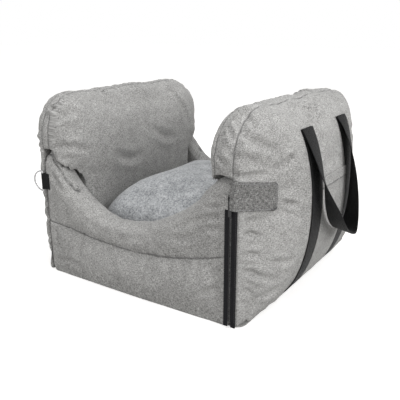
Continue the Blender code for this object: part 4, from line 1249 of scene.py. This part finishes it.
def plate(name, low, high, corner, bottom, top, finish, edge=0.0):
    """A flat slab with round corners and softened edges."""
    outline = []
    for cx, cy, start in ((low[0] + corner, low[1] + corner, 180), (high[0] - corner, low[1] + corner, 270),
                          (high[0] - corner, high[1] - corner, 0), (low[0] + corner, high[1] - corner, 90)):
        outline += arc((cx, cy), corner, start, start + 90, 8)
    middle = ((low[0] + high[0]) / 2, (low[1] + high[1]) / 2)
    thick = top - bottom
    edge = edge or thick / 2
    rings = []
    for z, inward in ((bottom, edge), (bottom + edge * 0.3, edge * 0.3), (bottom + thick / 2, 0),
                      (top - edge * 0.3, edge * 0.3), (top, edge)):
        ring = []
        for x, y in outline:
            run = Vector((middle[0] - x, middle[1] - y, 0)).normalized() * inward
            ring.append(Vector((x + run.x, y + run.y, z)))
        rings.append(ring)
    item = skin(name, rings, finish)
    item.data.set_sharp_from_angle(angle=math.radians(40))
    points = get_points(item.data)
    store(item.data, "cloth", np.stack([points[:, 0], points[:, 1], np.full(len(points), 29.0)], 1))
    store(item.data, "seam", np.full(len(points), NO_SEAM))
    return item


def make_base():
    low, high = (PANEL_INSET - FRONT_SEAM, PANEL_INSET - HALF_WIDTH), (PANEL_FRONT, HALF_WIDTH - PANEL_INSET)
    panel = plate("underside_panel", low, high, PANEL_CORNER, 0, PANEL_CLOTH, LINEN)
    hand_over(panel, "root", "linen", "base_fabric")
    low, high = (GAP - WELL_END, GAP - WALL_INNER), (WELL_END - GAP, WALL_INNER - GAP)
    foam = plate("foam_slab", low, high, WELL_CORNER, PAD_FOOT, PAD_FOOT + FOAM_HEIGHT, FOAM, FOAM_EDGE)
    hand_over(foam, "root", "foam", "base_foam")
    lining = plate("lining", low, high, WELL_CORNER, LINING_FOOT, LINING_FOOT + LINING, LINEN)
    hand_over(lining, "root", "linen", "base_lining")


make_base()

# %% [markdown]
# ## The corner zips
# Each zip is two black tapes with a coil between them, sewn over the corner seam. A strip of the
# cover cloth hides the top of the tape on the wall.

# %% Zips
TAPE_HEM = 0.0065
TAPE_LOW = COIL_FOOT + (COIL - TAPE) / 2
TAPE_LONGER = 0.011         # the tape reaches further down than its solid, almost to the floor
FACING = (0.2385, 0.2655)   # foot and top of the strip of cover cloth


def upright(name, side, outline, low, high, finish, rows=1):
    """A flat outline seen from above, carried upwards beside a side wall."""
    rings = []
    for k in range(rows + 1):
        z = low + (high - low) * k / rows
        rings.append([Vector((x, side * (HALF_WIDTH + out), z)) for x, out in outline])
    item = skin(name, rings, finish)
    item.data.set_sharp_from_angle(angle=math.radians(35))
    points = get_points(item.data)
    store(item.data, "cloth", np.stack([points[:, 2], points[:, 0], points[:, 1]], 1))
    return item


def make_zips():
    coil_edge = COIL_SPLIT / 2 + COIL + GAP
    tape = [(coil_edge, TAPE_LOW), (TAPE_HEM, TAPE_LOW), (TAPE_HEM, GAP), (TAPE_WIDTH, GAP),
            (TAPE_WIDTH, TAPE_LOW + TAPE * 0.6), (TAPE_WIDTH - TAPE / 2, TAPE_LOW + TAPE),
            (coil_edge, TAPE_LOW + TAPE)]
    cover = [(FRONT_SEAM - x, out) for x, out in (
        (0.0136, GAP), (0.0129, 0.0034), (0.0049, 0.0034), (0.0049, 0.0044), (0.0133, 0.0044), (0.015, GAP))]
    for label, side in SIDES:
        for holder, toward in HOLDERS:
            name = "zip_" + label + "_" + holder + "_tape"
            outline = [(FRONT_SEAM + toward * x, out) for x, out in tape]
            item = upright(name + "_cloth", side, outline, ZIP_FOOT - TAPE_LONGER, ZIP_TOP, TAPE_FINISH)
            hand_over(item, PAD_BODIES[toward], "zip_tape", name)
        facing = upright("zip_" + label + "_facing", side, cover, *FACING, PLAIN_LINEN, 8)
        hand_over(facing, "root", "linen")


make_zips()

# %% [markdown]
# ## Tabs at the zip ends
# A flap of the cover cloth, cut across the grain, is sewn into the corner seam and hides the zip's
# slider. It bridges the slider level, then lies on the bolster's slanting side. Patches of hook
# cloth hold it down.

# %% Tabs and patches
TAB_HINGE = FRONT_SEAM + 0.0012
TAB_BRIDGE, TAB_LEVEL = 0.0093, 0.0088       # the level part's length, and its height off the wall
TAB_SHARES, TAB_OUT, TAB_CLOTH = (0.975, 0.823), 0.0035, 0.0012
TAB_CORNER = 0.008
TAB_LIFT, TAB_SAG = 0.009, 0.005     # the tab runs a little downhill to its free end
PATCH_SHARES, PATCH, PATCH_INSET, HOOK_LEVEL = (0.96, 0.85), 0.001, 0.008, 0.0016
TAB_SEAM_FOOT, TAB_SEAM_WIDTH = 0.265, 0.0026


def tab_line(start_share, stop_share, out, count):
    """A line beside the bolster's slanting side, from one share of its crown to another."""
    slope = RIDGE_INSET / (OUTER_CROWN * (1 - STRIP_SHARE))
    length = math.hypot(1, slope)
    line = []
    for i in range(count + 1):
        rise = crown_height(1, start_share + (stop_share - start_share) * i / count)
        level = RIDGE_INSET * (side_share(rise) - 1)
        line.append((FRONT_SEAM + OUTER_CROWN * rise + out * slope / length, level + out / length))
    return line


def tab_path():
    """The level stretch over the slider, then the slanting one."""
    bridge = [(TAB_HINGE + TAB_BRIDGE * i / 4, TAB_LEVEL) for i in range(5)]
    return bridge + tab_line(*TAB_SHARES, TAB_OUT, 14)


def thick_line(line, thick):
    """Both sides of a line, as one closed outline."""
    left, right = [], []
    for i, (x, y) in enumerate(line):
        before, after = line[max(i - 1, 0)], line[min(i + 1, len(line) - 1)]
        length = math.hypot(after[0] - before[0], after[1] - before[1])
        nx, ny = -(after[1] - before[1]) / length * thick / 2, (after[0] - before[0]) / length * thick / 2
        left.append((x + nx, y + ny))
        right.append((x - nx, y - ny))
    return left + right[::-1]


def tab_slant(share):
    return TAB_LIFT - (TAB_LIFT + TAB_SAG) * share


def run_along(line):
    runs = [math.hypot(b[0] - a[0], b[1] - a[1]) for a, b in zip(line, line[1:])]
    return [sum(runs[:i]) for i in range(len(line))]


def make_tab(label, side):
    line = tab_path()
    runs = run_along(line)
    outline = thick_line(line, TAB_CLOTH)
    tab = upright("tab_" + label + "_cloth", side, outline, TAB_FOOT, TAB_TOP, TAB_LINEN_DARK_AND_SHADED, 16)
    points = get_points(tab.data)
    along = np.interp(points[:, 0], [x for x, _ in line], runs)
    past = np.clip(along - runs[-1] + TAB_CORNER, 0, TAB_CORNER)
    half = (TAB_TOP - TAB_FOOT) / 2 - TAB_CORNER + np.sqrt(TAB_CORNER ** 2 - past ** 2)
    middle = (TAB_TOP + TAB_FOOT) / 2
    points[:, 2] = middle + np.clip(points[:, 2] - middle, -half, half)
    points[:, 2] += tab_slant(along / runs[-1])
    set_points(tab.data, points)
    store(tab.data, "cloth", np.stack([along, points[:, 2], np.full(len(points), 31.0)], 1))
    hand_over(tab, label + "_tab", "linen", "tab_" + label)


def make_tab_fixings(label, side):
    for kind, low, body in (("loop", GAP, "front_bolster"), ("hook", HOOK_LEVEL, label + "_tab")):
        name = "tab_" + label + "_" + kind
        outline = thick_line(tab_line(*PATCH_SHARES, low + PATCH / 2, 6), PATCH)
        levels = (TAB_FOOT + PATCH_INSET, TAB_TOP - PATCH_INSET)
        patch = upright(name + "_cloth", side, outline, *levels, HOOK_CLOTH, 4)
        hand_over(patch, body, "hook_cloth", name + "_patch")
    seam_end, top = TAB_HINGE + TAB_SEAM_WIDTH, TAB_LEVEL - TAB_CLOTH
    fill = [(TAB_HINGE, GAP), (seam_end, GAP), (seam_end, top), (TAB_HINGE, top)]
    strip = upright("tab_" + label + "_seam_cloth", side, fill, TAB_SEAM_FOOT, TAB_TOP, TAB_LINEN_DARK_AND_SHADED)
    hand_over(strip, "front_bolster", "linen", "tab_" + label + "_seam")


for tab_label, tab_side in SIDES:
    make_tab(tab_label, tab_side)
    make_tab_fixings(tab_label, tab_side)

# %% [markdown]
# ## Rings at the rear corners
# A steel ring hangs by its straight bar in a fold of thin webbing, whose tail is sewn to the corner.

# %% Rings and their loops
RING_WIRE, LOOP_HEIGHT = 0.0035, 0.036
RING_HALF, RING_BULGE, RING_STEPS = 0.023, 0.028, 28
RING_BACK, RING_OFF = 0.0015, 0.0012     # behind the rear corner seam, and off the wall
LOOP_CLOTH, LOOP_ROOM, LOOP_TAIL = 0.0011, 0.0004, 0.016


def make_rings():
    wire = [(RING_WIRE / 2 * math.cos(2 * math.pi * j / 14), RING_WIRE / 2 * math.sin(2 * math.pi * j / 14))
            for j in range(14)]
    bar = [(0, z) for z in np.linspace(-RING_HALF * 0.86, RING_HALF * 0.86, 9)]
    bow = [(-RING_BULGE * math.sin(math.pi * i / RING_STEPS), RING_HALF * math.cos(math.pi * i / RING_STEPS))
           for i in range(RING_STEPS + 1)]
    path = bar + bow
    for label, side in SIDES:
        out = side * (HALF_WIDTH + GAP + RING_OFF + LOOP_ROOM + RING_WIRE / 2)
        place = Vector((-FRONT_SEAM - RING_BACK, out, RING_MIDDLE))
        stations = []
        for i, (x, z) in enumerate(path):
            before, after = Vector(path[i - 1]), Vector(path[(i + 1) % len(path)])
            along = (after - before).normalized()
            stations.append((place + Vector((x, 0, z)), Vector((along.y, 0, -along.x)), Vector((0, 1, 0))))
        ring = sweep("ring_" + label, stations, wire, STEEL, loop=True)
        hand_over(ring, label + "_ring", "steel", "d_ring_" + label)
        make_ring_loop(label, side, place)


def make_ring_loop(label, side, place):
    """Webbing folded round the bar, with both ends sewn flat to the wall."""
    bore = RING_WIRE / 2 + LOOP_ROOM + 0.0006
    flat = side * (HALF_WIDTH + GAP)
    path = [(place.x + LOOP_TAIL - 0.001 * i, flat + side * 0.0006) for i in range(17)]
    path += [(place.x - bore * math.sin(math.radians(a)), place.y - side * bore * math.cos(math.radians(a)))
             for a in range(10, 171, 20)]
    path += [(place.x, place.y + side * bore), (place.x + 0.003, place.y + side * (bore - LOOP_ROOM)),
             (place.x + 0.006, flat + side * 0.0030), (place.x + 0.010, flat + side * 0.0018),
             (place.x + LOOP_TAIL, flat + side * 0.0018)]
    stations = []
    for i, (x, y) in enumerate(path):
        before, after = path[max(i - 1, 0)], path[min(i + 1, len(path) - 1)]
        out = Vector((-(after[1] - before[1]), after[0] - before[0], 0)).normalized()
        stations.append((Vector((x, y, RING_MIDDLE)), Vector((0, 0, 1)), out))
    loop = sweep("ring_loop_" + label, stations, rounded_section(LOOP_HEIGHT, LOOP_CLOTH), WEBBING_FINISH)
    hand_over(loop, "root", "webbing", "d_ring_loop_" + label)


make_rings()

# %% [markdown]
# ## Stitches and coil ribs
# One Geometry Nodes tree sets a small bead again and again along lines: long thin beads are
# stitches, and beads across a line are the ribs of a zip's coil. Its inputs give the spacing and
# the bead's three half sizes. The beads that ride on one body become one mesh.

# %% The tree of beads
BEAD_INPUTS = ("Spacing", "Across", "Out", "Along")


def bead_tree(finish):
    group = bpy.data.node_groups.new("beads along lines", "GeometryNodeTree")
    group.interface.new_socket(name="Lines", in_out="INPUT", socket_type="NodeSocketGeometry")
    for name in BEAD_INPUTS:
        group.interface.new_socket(name=name, in_out="INPUT", socket_type="NodeSocketFloat")
    group.interface.new_socket(name="Beads", in_out="OUTPUT", socket_type="NodeSocketGeometry")
    tree = Tree(group)
    given, result = tree.node("NodeGroupInput").outputs, tree.node("NodeGroupOutput")

    def made(kind, values, settings=None):
        return tree.node(kind, settings, values).outputs[0]

    curve = made("GeometryNodeMeshToCurve", {"Mesh": given["Lines"]})
    spread = tree.node("GeometryNodeCurveToPoints", {"mode": "LENGTH"},
                       {"Curve": curve, "Length": given["Spacing"]}).outputs
    outward = made("GeometryNodeInputNamedAttribute", {"Name": "outward"}, {"data_type": "FLOAT_VECTOR"})
    along = made("FunctionNodeAlignRotationToVector", {"Vector": spread["Tangent"]}, {"axis": "Z"})
    upward = made("FunctionNodeAlignRotationToVector", {"Rotation": along, "Vector": outward},
                  {"axis": "Y", "pivot_axis": "Z"})
    bead = made("GeometryNodeMeshUVSphere", {"Segments": 6, "Rings": 4, "Radius": 1.0})
    sizes = made("ShaderNodeCombineXYZ", {"X": given["Across"], "Y": given["Out"], "Z": given["Along"]})
    placed = made("GeometryNodeInstanceOnPoints",
                  {"Points": spread["Points"], "Instance": bead, "Rotation": upward, "Scale": sizes})
    real = made("GeometryNodeRealizeInstances", {"Geometry": placed})
    soft = made("GeometryNodeSetShadeSmooth", {"Geometry": real})
    painted = made("GeometryNodeSetMaterial", {"Geometry": soft, "Material": finish})
    tree.put(result.inputs["Beads"], painted)
    return group


def beads(name, tree, lines, body, slot, spacing, sizes, replaced=()):
    """Beads along lines of points, each point with the direction that faces out of the cloth."""
    points, edges, outs = [], [], []
    for line in lines:
        first = len(points)
        points += [tuple(point) for point, _ in line]
        outs += [tuple(out) for _, out in line]
        edges += [(first + i, first + i + 1) for i in range(len(line) - 1)]
    mesh = bpy.data.meshes.new(name)
    mesh.from_pydata(points, edges, [])
    store(mesh, "outward", outs)
    item = bpy.data.objects.new(name, mesh)
    bpy.context.scene.collection.objects.link(item)
    change = item.modifiers.new("Beads", "NODES")
    change.node_group = tree
    sockets = {s.name: s.identifier for s in tree.interface.items_tree if s.in_out == "INPUT"}
    for key, value in zip(BEAD_INPUTS, (spacing, *sizes)):
        change[sockets[key]] = value
    hand_over(plain_mesh(item), body, slot, *replaced)
    print(name, len(item.data.polygons), "faces")


BLACK_BEADS, GREY_BEADS, RIB_BEADS = bead_tree(BLACK_THREAD), bead_tree(GREY_THREAD), bead_tree(NYLON)

# %% [markdown]
# Each strap has a row near both edges, and the ends of each handle's webbing are joined by short
# rows across it. The pocket's hem has two rows, and each tab and tape has one. The coils are close
# ribs on a thin core.

# %% Stitch rows
STITCH, STITCH_SPACING, TAB_STITCH_SPACING = (0.0004, 0.00028, 0.0015), 0.0042, 0.0036
STITCH_INSET, STITCH_OFF = 0.003, 0.0001     # from an edge, and off the cloth
STRAP_STITCH_END = 0.012
TAPE_STITCH_INSET, TAPE_STITCH_END, FACED_STITCH_TOP = 0.0016, 0.002, 0.237
POCKET_ROWS, POCKET_STITCH_OFF = (0.2585, 0.243), 0.0036
HANDLE_BARS, HANDLE_BAR_HALF = (0.80, 0.805, 0.835, 0.84), 0.42


def strap_rows(end):
    rows, edge = [], WEBBING_WIDTH / 2 - STITCH_INSET
    for _, side in SIDES:
        for y in (side * STRAP_PLACE - edge, side * STRAP_PLACE + edge):
            rows.append([on_face(end, y, z, GAP + WEBBING + STITCH_OFF)
                         for z in np.linspace(STRAP_FOOT + STITCH_INSET, STRAP_TOP - STRAP_STITCH_END, 60)])
    return rows


def pocket_rows():
    half = STRAP_PLACE - WEBBING_WIDTH / 2 - STITCH_INSET
    places = np.linspace(-half, half, 20)
    return [[on_face(1, y, z, GAP + POCKET_STITCH_OFF) for y in places] for z in POCKET_ROWS]


def tab_rows(side):
    """A row round the three free edges of a tab."""
    line = tab_path()
    flat = thick_line(line, TAB_CLOTH + 2 * STITCH_OFF)[:len(line)]
    inset, corner = STITCH_INSET, TAB_CORNER - STITCH_INSET
    runs = run_along(flat)
    last = runs[-1] - inset
    path = [(run, TAB_FOOT + inset) for run in np.linspace(0.008, last - corner, 12)]
    path += [(last - corner + corner * math.sin(math.radians(a)),
              TAB_FOOT + inset + corner - corner * math.cos(math.radians(a))) for a in range(15, 91, 15)]
    path += [(run, TAB_FOOT + TAB_TOP - z) for run, z in path[::-1]]
    row = []
    for run, z in path:
        x, y = (float(np.interp(run, runs, [point[k] for point in flat])) for k in (0, 1))
        near = min(range(1, len(runs)), key=lambda i: abs((runs[i] + runs[i - 1]) / 2 - run))
        (x0, y0), (x1, y1) = flat[near - 1], flat[near]
        place = Vector((x, side * (HALF_WIDTH + y), z + tab_slant(run / runs[-1])))
        row.append((place, Vector((y0 - y1, side * (x1 - x0), 0)).normalized()))
    return [row]


def zip_line(side, x, out, low, high, count):
    """An upright line beside a corner seam, facing out of the wall."""
    return [[(Vector((x, side * out, z)), Vector((0, side, 0))) for z in np.linspace(low, high, count)]]


def tape_rows(side, toward):
    x = FRONT_SEAM + toward * (TAPE_WIDTH - TAPE_STITCH_INSET)
    high = FACED_STITCH_TOP if toward < 0 else ZIP_TOP - TAPE_STITCH_END
    return zip_line(side, x, HALF_WIDTH + TAPE_LOW + TAPE + STITCH_OFF, ZIP_FOOT + TAPE_STITCH_END, high, 12)


def handle_rows(end):
    """Short bars where the ends of the handle's webbing overlap, on both faces."""
    rows = []
    for share in HANDLE_BARS:
        middle, across = handle_station(share)
        after = handle_station(share + 0.01)[0]
        out = (after - middle).normalized().cross(across).normalized()
        for face in (-1, 1):
            row = []
            for part in np.linspace(-HANDLE_BAR_HALF, HANDLE_BAR_HALF, 12):
                point = middle + across * (WEBBING_WIDTH * part) + out * (face * (WEBBING / 2 + STITCH_OFF))
                row.append([Vector((end * v.x, v.y, v.z)) for v in (point, out * face)])
            rows.append(row)
    return rows


def stitches(name, tree, rows, body, slot, spacing=STITCH_SPACING):
    beads(name + "_stitches", tree, rows, body, slot, spacing, STITCH)


for label, end in ENDS:
    stitches(label + "_strap", BLACK_BEADS, strap_rows(end), PAD_BODIES[end], "webbing")
    stitches(label + "_handle", BLACK_BEADS, handle_rows(end), label + "_handle", "webbing")
stitches("pocket", GREY_BEADS, pocket_rows(), "front_bolster", "linen")
for label, side in SIDES:
    stitches("tab_" + label, GREY_BEADS, tab_rows(side), label + "_tab", "linen", TAB_STITCH_SPACING)
    for holder, toward in HOLDERS:
        name = "zip_" + label + "_" + holder
        stitches(name, BLACK_BEADS, tape_rows(side, toward), PAD_BODIES[toward], "zip_tape")

# %% Coil ribs
RIB_SPACING, RIB, CORE_SHARE = 0.0015, (COIL / 2, COIL / 2, 0.0006), 0.32
COIL_TRIMS = {-1: 0.0045, 1: 0.001}     # room for the stops on the wall's half


def make_coils():
    out, thin = COIL_FOOT + COIL / 2, COIL * CORE_SHARE
    for label, side in SIDES:
        for holder, toward in HOLDERS:
            name = "zip_" + label + "_" + holder + "_coil"
            x = FRONT_SEAM + toward * (COIL_SPLIT + COIL) / 2
            levels = (ZIP_FOOT + COIL_TRIMS[toward], ZIP_TOP - COIL_TRIMS[toward])
            line = zip_line(side, x, HALF_WIDTH + COIL_FOOT + COIL / 2, *levels, 20)
            beads(name + "_ribs", RIB_BEADS, line, PAD_BODIES[toward], "nylon", RIB_SPACING, RIB, [name])
            square = [(x + a * thin, out + b * thin) for a, b in ((-1, -1), (1, -1), (1, 1), (-1, 1))]
            hand_over(upright(name + "_core", side, square, *levels, NYLON), PAD_BODIES[toward], "nylon")


make_coils()

# %% [markdown]
# ## Rigid small parts
# Stops, sliders and pulls keep their measured shape and get their finish.

# %% Finishes for the measured small parts
def dress(node, finish):
    mesh = bpy.data.objects[node].data
    for index in range(len(mesh.materials)):
        mesh.materials[index] = finish
    if not mesh.materials:
        mesh.materials.append(finish)


for label, _ in SIDES:
    for part in ("foot_stop", "top_stop"):
        dress("zip_" + label + "_" + part, NYLON)
    for part in ("slider", "pull"):
        dress("zip_" + label + "_" + part, BLACK_METAL)
